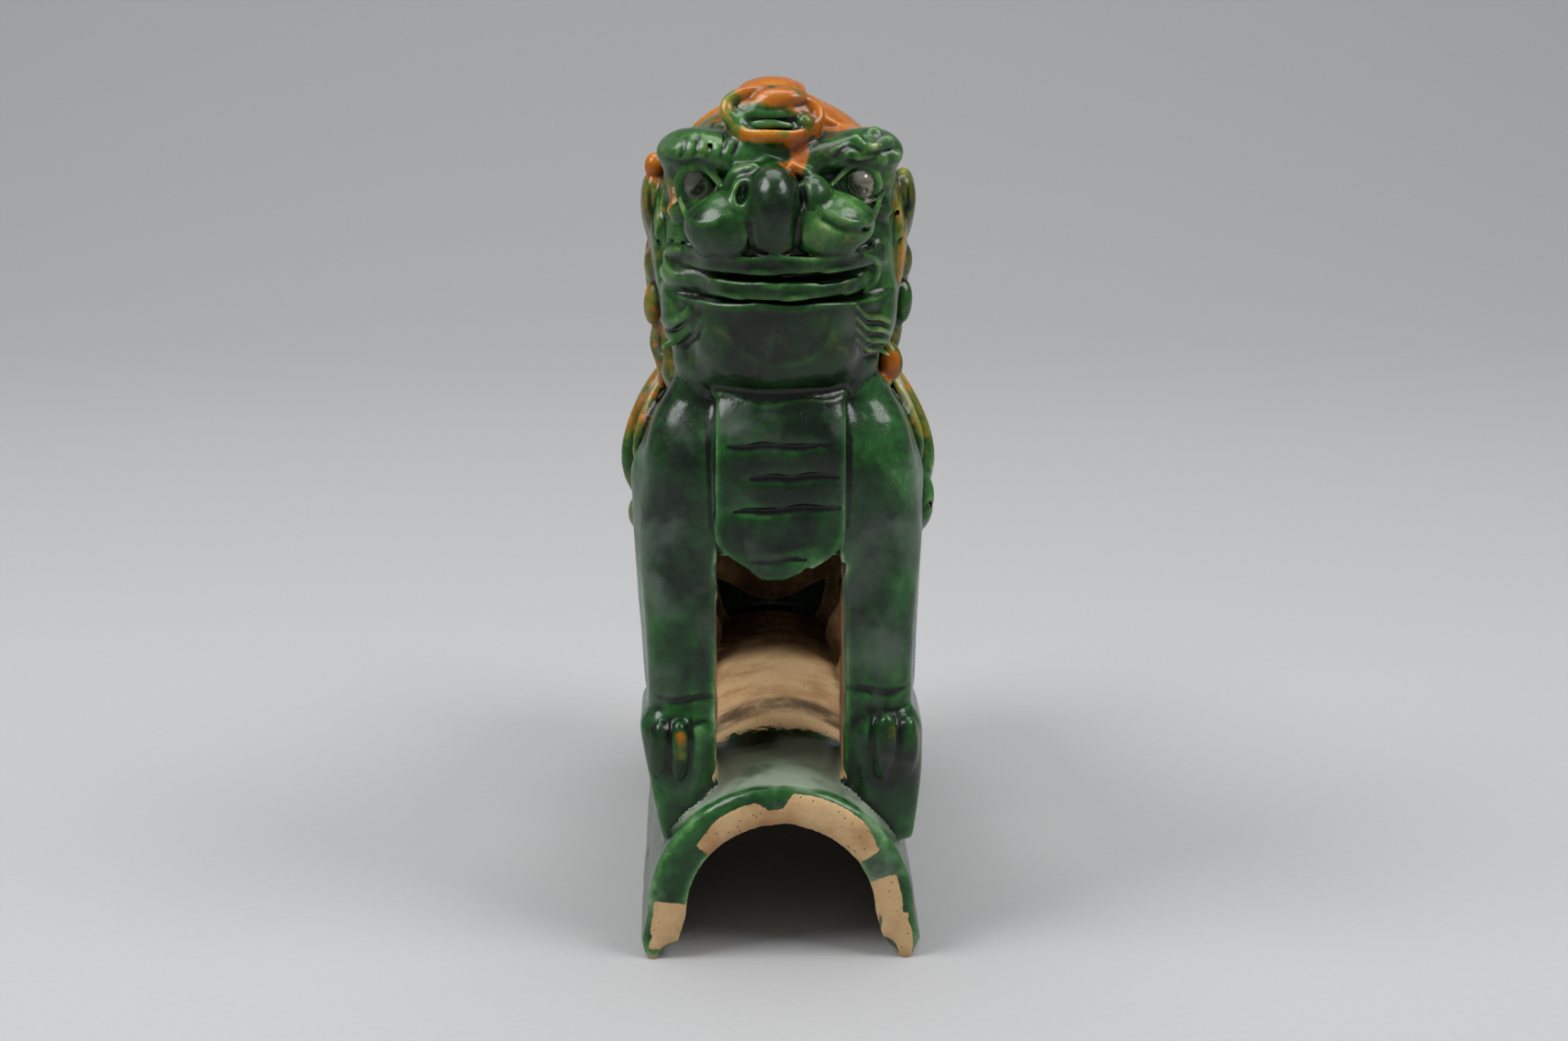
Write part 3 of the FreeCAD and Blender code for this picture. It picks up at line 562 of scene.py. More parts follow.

# %% [markdown]
# ## Modelling the head
# The face is where the potter's hand shows. Lumps are pressed on first: cheeks, brows, muzzle. Then rolls
# are laid along the lips, lids and brows, and last a wooden point opens the nostrils, eye sockets and
# wrinkles. The two sides are made one after the other, so they are alike but never mirror images.

# %% The head
def model_face(clay):
    for side in SIDES:
        for place, half in (((30, -84, 246), (9.5, 15, 24)), ((29, -86, 232), (10, 14, 14))):
            clay.join("face_mask", *egg(clay, flipped([place], side)[0], half), 5)
    clay.join("face_mask", *egg(clay, (-2, -90, 281), (23, 15, 11)), 5)
    # a flat egg closes the mouth behind the lips, and a rounded slab squares the jaw below them
    clay.join("face_mask", *egg(clay, (-3, -90, 241.5), (38, 22.5, 10)), 1.5)
    clay.join("lower_jaw", *egg(clay, (-1, -88, 211.5), (35.5, 22, 18)), 3)
    clay.join("lower_jaw", *slab(clay, (-24, -111.5, 210), (22, -92, 232), 7), 8)
    for side in SIDES:
        clay.join(f"brow_{side}", *egg(clay, flipped([(35, -86, 274)], side)[0], (4, 8, 9)), 4)
    # the muzzle: two pads run together into a square block over the lip
    for place in ((-18.5, -107, 259.5), (14, -107, 259)):
        clay.join("muzzle", *egg(clay, place, (12.5, 13, 9)), 3)
    clay.join("muzzle", *slab(clay, (-27.5, -116.5, 252), (24, -100, 259), 3.5), 4)
    # the nose: a ridge from the brow to the lip, two wings, two nostrils
    press(clay, "nose", [(-2.8, -103, 274), (-2.8, -112.5, 272.3), (-2.6, -114.5, 264), (-2, -113.5, 255)],
          [7.0, 8.2, 7.8, 6.4], 3.0)
    press(clay, "nose", [(-9, -111, 280), (-15, -109, 277.5), (-17, -107, 271), (-14.5, -109, 265.5)],
          [1.8, 2.2, 2.1, 1.5], 1.6)
    press(clay, "nose", [(4, -112, 281), (9.5, -110, 277.5), (10.8, -109, 271), (8.8, -111, 265)],
          [1.8, 2.2, 2.1, 1.5], 1.6)
    clay.cut(*egg(clay, (-12.9, -117.5, 273), (2.3, 4.2, 4.2), (0, 14, 0)), 1.2)
    clay.cut(*egg(clay, (7.2, -118, 272), (1.5, 4.0, 4.2), (0, -8, 0)), 1.0)
    # shallow hollows part the ridge from the pads
    for line in ([(-10.5, -124, 263), (-10, -124, 254)], [(5.6, -124, 263), (5.6, -124, 254)]):
        scribe(clay, line, [0.6, 1.2], blend=2.0)


def model_eyes(clay):
    clay.cut(*egg(clay, (-28, -102.5, 272.3), (7.4, 6.5, 9.0), (0, 12, 0)), 2.0)
    clay.cut(*egg(clay, (27, -102, 272.6), (8.2, 5.8, 6.8), (0, -8, 0)), 2.0)
    clay.join("eyeball_left", *egg(clay, (-28.8, -95.8, 273), (4.0, 4.6, 5.6), (0, 10, 0)), 0.8)
    clay.join("eyeball_right", *egg(clay, (27.0, -96.3, 273.2), (4.7, 5.0, 4.8)), 0.6)
    # a rim of clay runs round each socket
    sockets = (("left", -29, 272.6, 4.6, 6.0, 2.0), ("right", 27, 273.2, 5.6, 5.2, 1.7))
    for side, x, z, wide, tall, radius in sockets:
        ring = [(x + wide * math.cos(a), -98.2 + 0.04 * abs(x) * abs(math.cos(a)), z + tall * math.sin(a))
                for a in np.linspace(0, 2 * math.pi, 17)]
        press(clay, f"brow_{side}", ring, radius, 1.0)
    press(clay, "brow_left", [(-36, -88, 272), (-33, -94, 278.5), (-26, -99, 279.5), (-19.5, -103, 273)],
          [1.0, 1.5, 1.5, 1.0], 1.6)
    press(clay, "brow_right", [(35.5, -90, 270), (32, -95, 277.5), (25, -99, 279.5), (17, -103, 273)],
          [1.0, 1.4, 1.4, 1.0], 1.4)
    lay(clay, "eyelid_right", [(12, -124, 268.5), (18, -124, 264.8), (25.5, -124, 262.6), (31, -124, 264),
                               (34.5, -124, 269)], [0.6, 1.1, 1.4, 1.3, 0.8], sink=0.3)
    lay(clay, "eyelid_left", [(-17, -124, 266), (-23, -124, 263), (-30, -124, 263), (-34, -124, 268)],
        [0.5, 0.9, 0.9, 0.7], sink=0.4)
    scribe(clay, [(14, -124, 264.6), (20, -124, 261.4), (27, -124, 259.8), (33, -124, 261.6)], 0.7,
           blend=1.2)


def model_brows(clay):
    for side in SIDES:
        line = [(7, -104, 279.5), (16, -101, 282.5), (25, -95, 283.5), (32.5, -88, 283), (36.5, -80, 280)]
        press(clay, f"brow_{side}", flipped(line, side), [3.6, 5.2, 5.6, 5.2, 3.6], 4.0)
    # the left brow is a fan of cuts, the right one a heap of small curls
    cuts = ((-15, 288, 4), (-19, 290, 7), (-23.5, 290.5, 8), (-28, 290, 7.5), (-32.5, 288, 6))
    for x, top, length in cuts:
        scribe(clay, [(x + 0.8, -124, top), (x, -124, top - length * 0.6), (x - 1.2, -124, top - length)],
               [0.5, 1.0, 0.5], blend=0.9)
    scribe(clay, [(-38, -124, 281), (-33, -124, 280), (-27, -124, 281.5)], [0.5, 0.9, 0.5], blend=1.0)
    curls = ((17, 281, 1.5), (21, 284.5, 1.7), (25.5, 282, 1.6), (26, 287.5, 1.9), (30.5, 285, 1.9),
             (32, 289, 2.1), (35.5, 286, 2.2), (38, 281.5, 2.2), (23, 278.8, 1.2), (34, 281, 1.7))
    for x, z, size in curls:
        place = clay.settle([(x, -124, z)], 1, 1, 0.9)[0]
        clay.join("brow_right", *egg(clay, place, (size * 1.35, size, size), (0, 40 * math.sin(x), 0)), 0.9)
    for line in ([(18, -124, 283), (23, -124, 286), (27, -124, 284.5)],
                 [(27, -124, 289), (31, -124, 287), (34, -124, 288.5)],
                 [(29, -124, 283), (34, -124, 283.5), (39, -124, 284)],
                 [(22, -124, 281), (27, -124, 279.8), (32, -124, 281.5)]):
        scribe(clay, line, [0.5, 0.9, 0.5], blend=0.7)


def model_mouth(clay):
    rims = (("upper_lip", 251.0, -38, 31, 0.8), ("upper_lip", 246.4, -37, 32, 0.8),
            ("teeth_band", 242.4, -27, 28.5, 0.8), ("teeth_band", 237.8, -27, 29, 0.8),
            ("lower_jaw", 234.4, -27.5, 25.5, 1.1))
    for node, z, left, right, radius in rims:
        path = [(left + (right - left) * k / 8, -130, z + 0.5 * math.sin(k * 1.9 + z)) for k in range(9)]
        lay(clay, node, path, [radius * 0.6] + [radius] * 7 + [radius * 0.6], sink=0.5, blend=0.8)
    # the lips end in a small round fold at each corner
    lay(clay, "face_mask", [(-33, -130, 251), (-37, -130, 249.5), (-38.6, -130, 246.5), (-37, -130, 243),
                            (-32, -130, 241.5)], [0.6, 1.1, 1.2, 1.1, 0.6], sink=0.5, blend=1.0)
    lay(clay, "face_mask", [(28, -130, 250.5), (31.5, -130, 248), (33, -130, 244), (32, -130, 239.5),
                            (28, -130, 236)], [0.6, 1.1, 1.3, 1.2, 0.6], sink=0.5, blend=1.0)
    # the skin of the jaw folds where it meets the cheek: two folds at the left, four at the right
    for line in ([(-28, -130, 236), (-30.5, -130, 231), (-35, -130, 227), (-40, -130, 225)],
                 [(-27.5, -130, 230), (-30, -130, 226), (-34, -130, 221), (-39.5, -130, 217.5)]):
        lay(clay, "cheek_fold_left", line, [0.8, 1.5, 1.6, 0.8], sink=0.2, blend=1.4)
        scribe(clay, [(x + 1.2, y, z - 3.2) for x, y, z in line], [0.5, 1.2, 1.3, 0.6], sink=0.2, blend=1.2)
    for drop in (0, 4.2, 8.4, 12.6):
        line = [(25.5, -130, 233.5 - drop * 0.9), (29, -130, 229 - drop), (33.5, -130, 227.5 - drop),
                (37.5, -130, 225.5 - drop)]
        lay(clay, "cheek_fold_right", line, [0.6, 1.2, 1.3, 0.7], sink=0.2, blend=1.0)
        scribe(clay, [(x, y, z - 2.2) for x, y, z in line], [0.4, 0.9, 1.0, 0.5], sink=0.2, blend=0.8)
    for line, radius in (([(-29, -130, 244.8), (-14, -130, 244.6), (0, -130, 243.4), (14, -130, 242.6),
                           (27, -130, 242.9)], 0.8),
                         ([(-24, -130, 236.5), (0, -130, 236), (14, -130, 235.7),
                           (27, -130, 236.3)], 0.6),
                         ([(-37, -130, 252.6), (-14, -130, 252.2), (8, -130, 252.6),
                           (30, -130, 252.3)], 0.8)):
        scribe(clay, line, radius, sink=0.8, blend=0.6)
    # the chin is a separate bowl of clay, and its ragged lower seam shows
    seam = [(28 * math.sin(a), -130, 202.5 - 3.5 * math.cos(1.3 * a) + 0.8 * math.sin(7 * a))
            for a in np.linspace(-1.35, 1.35, 17)]
    lay(clay, "lower_jaw", seam, 1.1, sink=0.6, blend=1.4)


def model_crown(clay):
    rim = []
    for a in np.linspace(0, 2 * math.pi, 17):
        x = -2.4 + 15.6 * math.sin(a)
        rim.append((x, -96 - 4.5 * math.cos(a), 296.2 - 6.6 * math.cos(a) - 0.08 * x))
    press(clay, "forehead_boss", rim, 2.2, 3.2)
    clay.join("forehead_boss", *egg(clay, (-2.4, -93, 295), (14, 6.5, 7), (25, 0, 0)), 2.0)
    clay.cut(*egg(clay, (-2.4, -102.5, 295), (11.5, 4.4, 4.6), (25, 0, 0)), 1.6)
    for z, y, wide in ((292.6, -100, 9.5), (295.8, -98.6, 10.5), (299, -97, 8.5)):
        fold = [(-3 - wide, y + 1.2, z), (-3, y - 0.8, z + 0.6), (-3 + wide * 0.8, y, z)]
        press(clay, "forehead_boss", fold, [0.7, 1.5, 0.8], 0.8)
    clay.join("forehead_boss", *egg(clay, (8.3, -99.5, 293.8), (3, 3, 2.8)), 0.8)
    clay.join("forehead_boss", *egg(clay, (0, -94, 301), (9, 5, 3.6)), 1.5)
    clay.join("topknot", *egg(clay, (-3, -78, 300.2), (11.5, 13, 5.6)), 2.0)
    clay.join("ear_left", *egg(clay, (-42.6, -68, 274), (3.4, 4, 4.6)), 1.0)
    for side in SIDES:
        # each ear is a leaf with two grooves, set against the mane and facing forwards
        place = flipped([(41.6, -69, 259)], side)[0]
        clay.join(f"ear_{side}", *egg(clay, place, (5.4, 6, 12.5), (6, 8 * SIDES[side], 0)), 1.2)
        for shift in (-1.6, 1.8):
            line = [(42.6 + shift, -124, 267), (41.8 + shift * 1.2, -124, 259),
                    (40 + shift * 0.6, -124, 250)]
            scribe(clay, flipped(line, side), [0.5, 1.0, 0.5], blend=0.8)
        for place, half in (((43.2, -66, 240), (3.6, 6, 7)), ((43.4, -66, 226), (3.6, 5.5, 8))):
            clay.join(f"side_locks_{side}", *egg(clay, flipped([place], side)[0], half, (0, 4, 0)), 1.0)
    clay.join("side_locks_right", *egg(clay, (38.6, -79, 208), (4.4, 4.6, 7.2), (0, -14, 0)), 1.0)
    for line in ([(-42, -66, 219), (-42.6, -68, 212), (-40.5, -71, 205), (-41, -69, 197)],
                 [(-38.6, -72, 220), (-38.4, -75, 212), (-36.6, -77, 204), (-37.5, -74, 196)]):
        press(clay, "side_locks_left", line, [1.6, 2.4, 2.4, 1.4], 0.8)


# %% [markdown]
# ## Modelling the body
# The two pressed halves are plain, so the marks on them are few: the bands of the chest strap, drawn with
# a blunt point, the creases where each leg meets its paw, the toes, and the hair on shoulders and tail.

# %% The body and the tile
def model_chest(clay):
    # the pressed shoulders run straight down into the legs
    for line, radii in (([(-40, -80, 168), (-38.4, -80, 130), (-36, -80, 95)], [11.4, 10.8, 10.2]),
                        ([(37.6, -80, 168), (37, -80, 130), (36.4, -80, 95)], [11.4, 10.5, 10.2])):
        press(clay, "foreleg_left" if line[0][0] < 0 else "foreleg_right", line, radii, 6)
    for side in SIDES:
        press(clay, f"body_half_{side}", flipped([(35, -89, 140), (34.5, -91, 160), (33.5, -92, 182),
                                                  (31, -86, 196)], side), [10, 11.5, 11.5, 8], 7)
        press(clay, f"body_half_{side}", flipped([(29, -89, 146), (28.5, -91, 165), (28, -91.5, 186),
                                                  (27, -90, 200)], side), [8, 9, 9, 8], 4)
    trim(clay, (-21, -112, 130), (0, -88, 142.3), (-23.5, 152), (-6, 137.3))
    trim(clay, (-21, -112, 142.3), (0, -101.5, 154), (-23.5, 152), (-6, 137.3))
    trim(clay, (-2, -112, 130), (20, -88, 142.3), (1, 137.3), (22.5, 150))
    trim(clay, (-2, -112, 142.3), (20, -101.5, 152), (1, 137.3), (22.5, 150))
    for node, x in (("chest_bib", -22.2), ("chest_bib", 21.2)):
        lay(clay, node, [(x, -130, 176), (x, -130, 164), (x * 0.97, -130, 155), (x * 0.84, -130, 148.5),
                         (x * 0.5, -130, 143)], [0.3, 0.7, 0.9, 0.9, 0.6], sink=0.5, blend=1.0)
    lay(clay, "chest_bib", [(-13, -130, 147), (-4, -130, 147.2), (6, -130, 148.4), (14, -130, 150)],
        [0.4, 0.7, 0.7, 0.4], sink=0.5, blend=1.0)
    bands = ((185.5, -18, 17, 0.3, 1.1), (174.6, -12, 19.5, 1.0, 1.1), (163.2, -18.7, 20, 1.6, 1.2),
             (145.4, -10, 12, 2.0, 0.8))
    for z, left, right, rise, radius in bands:
        path = [(left + (right - left) * k / 6, -130, z + rise * (k / 6 - 0.5) + 0.4 * math.sin(2 * k + z))
                for k in range(7)]
        scribe(clay, path, [radius * f for f in (0.5, 0.9, 1.1, 0.9, 1.1, 0.9, 0.5)], sink=0.7, blend=0.4)
    for x in (-24.3, 23.2):
        scribe(clay, [(x, -130, 202), (x * 1.01, -130, 186), (x, -130, 170), (x * 0.98, -130, 156)],
               [0.7, 0.9, 0.7, 0.4], sink=0.4, blend=0.8)
    for side in SIDES:
        # the inner front edge of each leg is square where the mould's edge was
        clay.join(f"foreleg_{side}", *slab(clay, np.array(flipped([(22.9, -99.5, 62)], side)[0]),
                                           np.array(flipped([(31, -62, 143)], side)[0]), 1.0), 2.0)
    press(clay, "elbow_tuft_right", [(48, -62, 166), (50.5, -66, 158), (49, -72, 150), (45, -77, 146)],
          [3.0, 4.4, 4.4, 2.6], 1.6)
    scribe(clay, [(80, -66, 152), (80, -72, 154), (80, -78, 152)], [0.6, 1.3, 0.6], axis=0, sign=-1)


def trim(clay, low, high, first, last):
    """Slices off the clay below a slanting line, given left to right as (x, z) pairs, inside a box."""
    part, (x, _, z) = clay.window(low, high)
    (a_x, a_z), (b_x, b_z) = first, last
    run = math.hypot(b_x - a_x, b_z - a_z)
    above = ((b_x - a_x) * (z - a_z) - (b_z - a_z) * (x - a_x)) / run
    clay.cut(part, np.broadcast_to(above, [p.stop - p.start for p in part]), 1.5)


def model_legs(clay):
    # the paws' lower outer corners lean in to meet the tile
    trim(clay, (-60, -112, 40), (-34, -48, 100), (-47.6, 72), (-41.5, 41))
    trim(clay, (34, -112, 40), (60, -48, 100), (47, 41), (50.4, 62))
    creases = (("left", 91.5, 24, 44, 1.2), ("left", 82.5, 26, 40, 0.8), ("right", 94.3, 24, 45, 1.3),
               ("right", 87.5, 30, 44, 0.7))
    for side, z, start, end, radius in creases:
        path = [(x * SIDES[side], -130, z + 0.9 * math.sin(x * 0.3)) for x in np.linspace(start, end, 6)]
        scribe(clay, path, [radius * f for f in (0.4, 0.9, 1.0, 1.0, 0.8, 0.4)], blend=1.4)
    toes = (("left", -41.9, -103, 75, (3.3, 3.6, 9)), ("left", -35.2, -104.6, 76.5, (3.2, 3.4, 8.6)),
            ("right", 36.9, -104.4, 77.5, (4.2, 3.6, 9.6)), ("right", 44.8, -101.6, 75, (3.4, 4.2, 10)))
    for side, x, y, z, half in toes:
        clay.join(f"forepaw_toes_{side}", *egg(clay, (x, y, z), half), 1.6)
    for line in ([(-38.6, -130, 85), (-38.6, -130, 76), (-38.4, -130, 66)],
                 [(-31.4, -130, 85), (-31.2, -130, 76), (-31.8, -130, 67)],
                 [(41.0, -130, 87), (41.2, -130, 77), (41, -130, 66)],
                 [(32.2, -130, 86), (32, -130, 77), (32.6, -130, 67)]):
        scribe(clay, line, [0.5, 1.0, 0.6], blend=1.0)
    for side in SIDES:
        turn = SIDES[side]
        for x, y in ((33.5, 15), (41.5, 17)):
            clay.join(f"hind_toes_{side}", *egg(clay, (x * turn, y, 58), (3.6, 4.4, 8)), 1.6)
        # the thigh is ringed by a groove, with three curls of hair below the hip
        ring = [(80 * turn, 74 + 33 * math.cos(a), 97 + 42 * math.sin(a))
                for a in np.linspace(-0.6, 3.6, 22)]
        scribe(clay, ring, 1.2, axis=0, sign=-turn, blend=1.6)
        for shift in (0, 9, 18):
            curl = [(80 * turn, 96 - 0.4 * shift, 126 - shift), (80 * turn, 84 - 0.4 * shift, 128 - shift),
                    (80 * turn, 73, 121 - shift), (80 * turn, 69, 112 - shift)]
            lay(clay, f"haunch_{side}", curl, [0.7, 1.6, 1.7, 0.7], axis=0, sign=-turn, sink=0.5)


TILE_FRONT, TILE_REAR = -115, 125  # the tile's two ends along y
ARCH_Z = 16.5  # the height of the arch's centre
ARCH_INSIDE, ARCH_WALL = 33.3, 13.7  # the arch's inside radius and its wall


def from_arch(x, z):
    """How far points are from the arch's centre line, or from the middle plane below it."""
    return np.hypot(x, np.maximum(z - ARCH_Z, 0))


def model_tile(clay):
    """The rims are cut from the drum with a wire, then rubbed round and chipped."""
    bites = np.random.default_rng(31)
    for number in range(26):
        angle = bites.uniform(-0.2, 3.34)
        radius = bites.choice((33.6, 46.8))
        end = TILE_FRONT if number % 3 else TILE_REAR
        centre = (radius * math.cos(angle), end, ARCH_Z + radius * math.sin(angle))
        size = bites.uniform(0.8, 1.9)
        if centre[2] > 2:
            clay.cut(*egg(clay, centre, (size * 1.5, size * 0.7, size)), 1.2)
    for number in range(9):
        z = bites.uniform(4, 14)
        side = bites.choice((-1, 1))
        clay.cut(*egg(clay, (49.5 * side, bites.uniform(-110, 120), z), (1.5, 5, 2.5)), 1.5)
    # the tips of the feet are worn round
    for place, half in (((-39.3, -115, 0), (3.4, 12, 5)), ((-51.5, -115, 0), (3.4, 12, 6)),
                        ((36.4, -115, 0), (4.6, 12, 7)), ((51, -115, 0), (4, 12, 7))):
        clay.cut(*egg(clay, place, half), 2.0)
    clay.cut(*roll(clay, [(-36.2, -122, 2), (-36.4, -100, 4), (-35.5, -70, 5)], [3.6, 2.8, 0.5]), 1.5)
    # outer edges of both ends, rubbed round
    part, (x, y, z) = clay.window((-56, -120, -4), (56, 130, 92))
    radius = np.where(z > ARCH_Z, from_arch(x, z), np.abs(x) - 0.21 * (ARCH_Z - z))
    for end, sign in ((TILE_FRONT, -1), (TILE_REAR, 1)):
        beyond = 0.6 * (radius - 44.6) + 0.8 * sign * (y - end)
        clay.cut(part, -beyond.astype(np.float32), 2.0)


# %% [markdown]
# ## Three blocks of clay
# One lattice fine enough for the eyes would be wasteful for the back, so the head, body and tile each get
# a block with its own step. All the work is done in every block it reaches, so they match where they meet.

# %% Press every CAD piece and every detail into the blocks
FILLETS = {  # millimetres of slip smoothed into the join round each piece; the rest get 1.5
    "face_mask": 2, "mane_cap": 2, "lower_jaw": 3, "muzzle": 3, "nose": 2.5, "brow": 3, "eyeball": 0.6,
    "eyelid": 1.2, "cheek_fold": 3, "forehead_boss": 2, "topknot": 2, "upper_lip": 0.8, "teeth_band": 0.8,
    "body_half": 0.5, "chest_bib": 1.2, "foreleg": 5, "forepaw": 2.5, "haunch": 3, "tail": 2,
    "ridge_tile": 1, "shoulder_flame": 1.2, "elbow_tuft": 2,
}
ORDER = ("body_half", "head_back", "face_mask", "foreleg", "haunch", "ridge_tile", "hind_paw", "forepaw",
         "chest_bib", "mane_cap", "cheek_fold", "brow", "muzzle", "lower_jaw", "upper_lip", "teeth_band",
         "nose", "forehead_boss", "topknot", "ear", "side_locks", "nape_locks", "eyelid", "tail")
HEAD = ("face_mask", "head_back", "lower_jaw", "upper_lip", "teeth_band", "muzzle", "nose", "brow",
        "eyeball", "eyelid", "cheek_fold", "mane_cap", "forehead_boss", "topknot", "ear", "side_locks", "nape_locks")
BLOCKS = {
    "head": ((-58, -130, 186), (58, 16, 309), 0.64, 0.9),
    "body": ((-60, -128, 34), (60, 128, 228), 0.9, 1.2),
    "tile": ((-56, -120, -4), (56, 130, 92), 1.1, 1.5),
}
GUEST_LEAD = -0.8  # how much a piece at home in another block yields where two pieces are equally near
STRAND_FILLET = 0.9
WAVES = ((22, 0.45, 1), (7, 0.14, 2))  # the length and depth of the unevenness, and its seed


def family(node):
    """A node's name without its side."""
    return node.removesuffix("_right").removesuffix("_left")


def block_of(node):
    return "tile" if node == "ridge_tile" else "head" if family(node) in HEAD else "body"


def modelled(name):
    """One block with every CAD piece, strand and hand-made detail in it."""
    low, high, step, coarse = BLOCKS[name]
    clay = Clay(low, high, step)
    rank = {kind: place for place, kind in enumerate(ORDER)}
    for node in sorted(NODES, key=lambda n: rank.get(family(n), len(ORDER))):
        home = block_of(node) == name
        clay.cast(node, cad_mesh(node), FILLETS.get(family(node), 1.5), 0.0 if home else GUEST_LEAD)
    for node, shape in STRANDS.items():
        clay.cast(node, shape, STRAND_FILLET)
    for work in (model_face, model_brows, model_eyes, model_mouth, model_crown, model_chest, model_legs):
        work(clay)
    if name == "tile":
        model_tile(clay)
    for length, depth, seed in WAVES:
        clay.field += depth * waviness(clay, length, seed)
    return clay


PIECES = {}
for block in BLOCKS:
    clay = modelled(block)
    shown = [node for node in NODES if block_of(node) == block]
    PIECES.update(part_clay(clay, shown))
    print(f"{block}: {clay.field.size / 1e6:.1f} million samples,",
          sum(len(PIECES[n]["faces"]) for n in shown if n in PIECES), "faces")

# %% [markdown]
# ## Where each glaze was brushed
# The lion was dipped in green, and amber was dabbed over the hair while the green was still wet. Where a
# brush missed, or a finger wiped, the buff clay shows. Colour borders therefore follow no edge of the
# model. They are painted here as soft strokes and kept as numbers on the points of each mesh, and the
# materials then roughen them with noise. Painted shade under and inside the body, and a painted sheen,
# are kept the same way.

# %% Paint strokes
def ramp_up(values, start, end):
    """0 below start, 1 above end, with a soft S between."""
    t = np.clip((values - start) / (end - start), 0, 1)
    return t * t * (3 - 2 * t)


def within(values, low, high, soft):
    """1 between two values, fading out over the softness on both sides."""
    return ramp_up(values, low - soft, low) * (1 - ramp_up(values, high, high + soft))


def stroke(points, line, radius):
    """1 on a line through space, fading to 0 at the radius."""
    line = np.array(line, float)
    nearest = np.full(len(points), FAR_AWAY * 10)
    for a, b in zip(line[:-1], line[1:]):
        run = b - a
        share = np.clip((points - a) @ run / max(run @ run, 1e-9), 0, 1)
        nearest = np.minimum(nearest, np.linalg.norm(points - a - share[:, None] * run, axis=1))
    return 1 - ramp_up(nearest, 0.45 * radius, radius)


AMBER = {  # how much amber was dabbed on a piece; the rest of the head gets 0.2 and other pieces 0.04
    "mane_cap": 0.54, "topknot": 0.92, "forehead_boss": 0.66, "nape_locks": 0.66, "side_locks_left": 0.5,
    "side_locks_right": 0.42, "ear_left": 0.48, "ear_right": 0.4, "tail_locks": 0.7, "tail": 0.3,
    "shoulder_flame_left": 0.3, "shoulder_flame_right": 0.26, "elbow_tuft_left": 0.4,
    "elbow_tuft_right": 0.12,
}
BRUSHED = {  # how thinly the glaze was brushed on; 0.38 where nothing is said
    "chest_bib": 0.24, "face_mask": 0.45, "brow_left": 0.46, "brow_right": 0.46, "muzzle": 0.43,
    "lower_jaw": 0.3, "nose": 0.3, "forepaw_toes_left": 0.06, "forepaw_toes_right": 0.1,
    "forepaw_right": 0.3, "forepaw_left": 0.4, "topknot": 0.36, "side_locks_left": 0.28,
    "side_locks_right": 0.26, "ear_left": 0.28, "ear_right": 0.26, "upper_lip": 0.3, "teeth_band": 0.34,
}
# every stroke is a line, how far it spreads in millimetres, and its strength
AMBER_STROKES = (
    ([(5, -101, 292), (5, -105, 286), (3.5, -110, 280)], 6.5, 1.0),
    ([(-42.6, -69, 277), (-42.6, -69, 272)], 6.0, 1.0),
    ([(-36, -92, 272), (-36, -92, 262)], 4.0, 0.5),
    ([(-42, -104, 78), (-42, -104, 72)], 3.4, 0.66),
    ([(-35, -106, 80), (-35, -106, 73)], 3.4, 0.72),
    ([(46.5, -102, 80), (46.5, -102, 70)], 3.2, 0.55),
    ([(38.5, -107, 82), (38.5, -107, 78)], 2.6, 0.5),
    ([(16, -88, 298), (34, -78, 290)], 12.0, 0.95),
    ([(-18, -90, 297), (-28, -82, 291)], 6.0, 0.6),
    ([(-3, -103, 289.5), (12, -100, 291), (15, -95, 296)], 3.0, 0.85),
    ([(38.6, -82, 208), (38, -82, 204)], 6.0, 0.75),
)
GREEN_STROKES = (
    ([(-16, -93, 300), (-19, -95, 295), (-14, -99, 290.5)], 5.0, 0.5),
    ([(-12, -99, 296), (-2, -100, 294), (6, -99, 292.5)], 6.0, 0.75),
    ([(-12, -104, 285), (0, -106, 284.5), (1, -106, 284)], 4.0, 0.8),
    ([(-40, -80, 274), (-26, -86, 291)], 8.0, 0.5),
    ([(44, -70, 228), (44, -70, 222)], 6.0, 0.6),
)
BARE_STROKES = (
    ([(-35, -93, 270), (-35.5, -93, 262)], 2.6, 0.5),
    ([(2, -112, 154), (3, -112, 153)], 3.0, 0.5),
    ([(-23, -98, 140), (-23, -98, 60)], 1.5, 0.55),
    ([(23, -98, 140), (23, -98, 60)], 1.3, 0.42),
    ([(-21, -100, 62), (-20, -92, 64)], 4.5, 0.8),
    ([(21, -100, 62), (20, -88, 64)], 4.0, 0.7),
)
# painted shade: a painted shadow across the tile's crown under the body, dark lines where the body's sides meet the
# tile, and shade under the left toes; the last two strokes darken the tile's front face low down at both feet
PAINTED_SHADE_STROKES = (
    ([(-28, -32, 50), (-14, -26, 62), (0, -22, 64), (14, -22, 62), (28, -28, 50)], 13.0, 0.8),
    ([(-29, -70, 58), (-29, -50, 60), (-29, 20, 60)], 8.0, 0.6),
    ([(29, -70, 58), (29, -50, 60), (29, 20, 60)], 8.0, 0.6),
    ([(-33, -108, 66), (-36, -108, 68)], 4.0, 0.6),
    ([(-46, -118, 17), (-48, -118, 14)], 4.0, 0.7),
    ([(47, -118, 12), (47, -118, 6)], 4.0, 0.7),
)


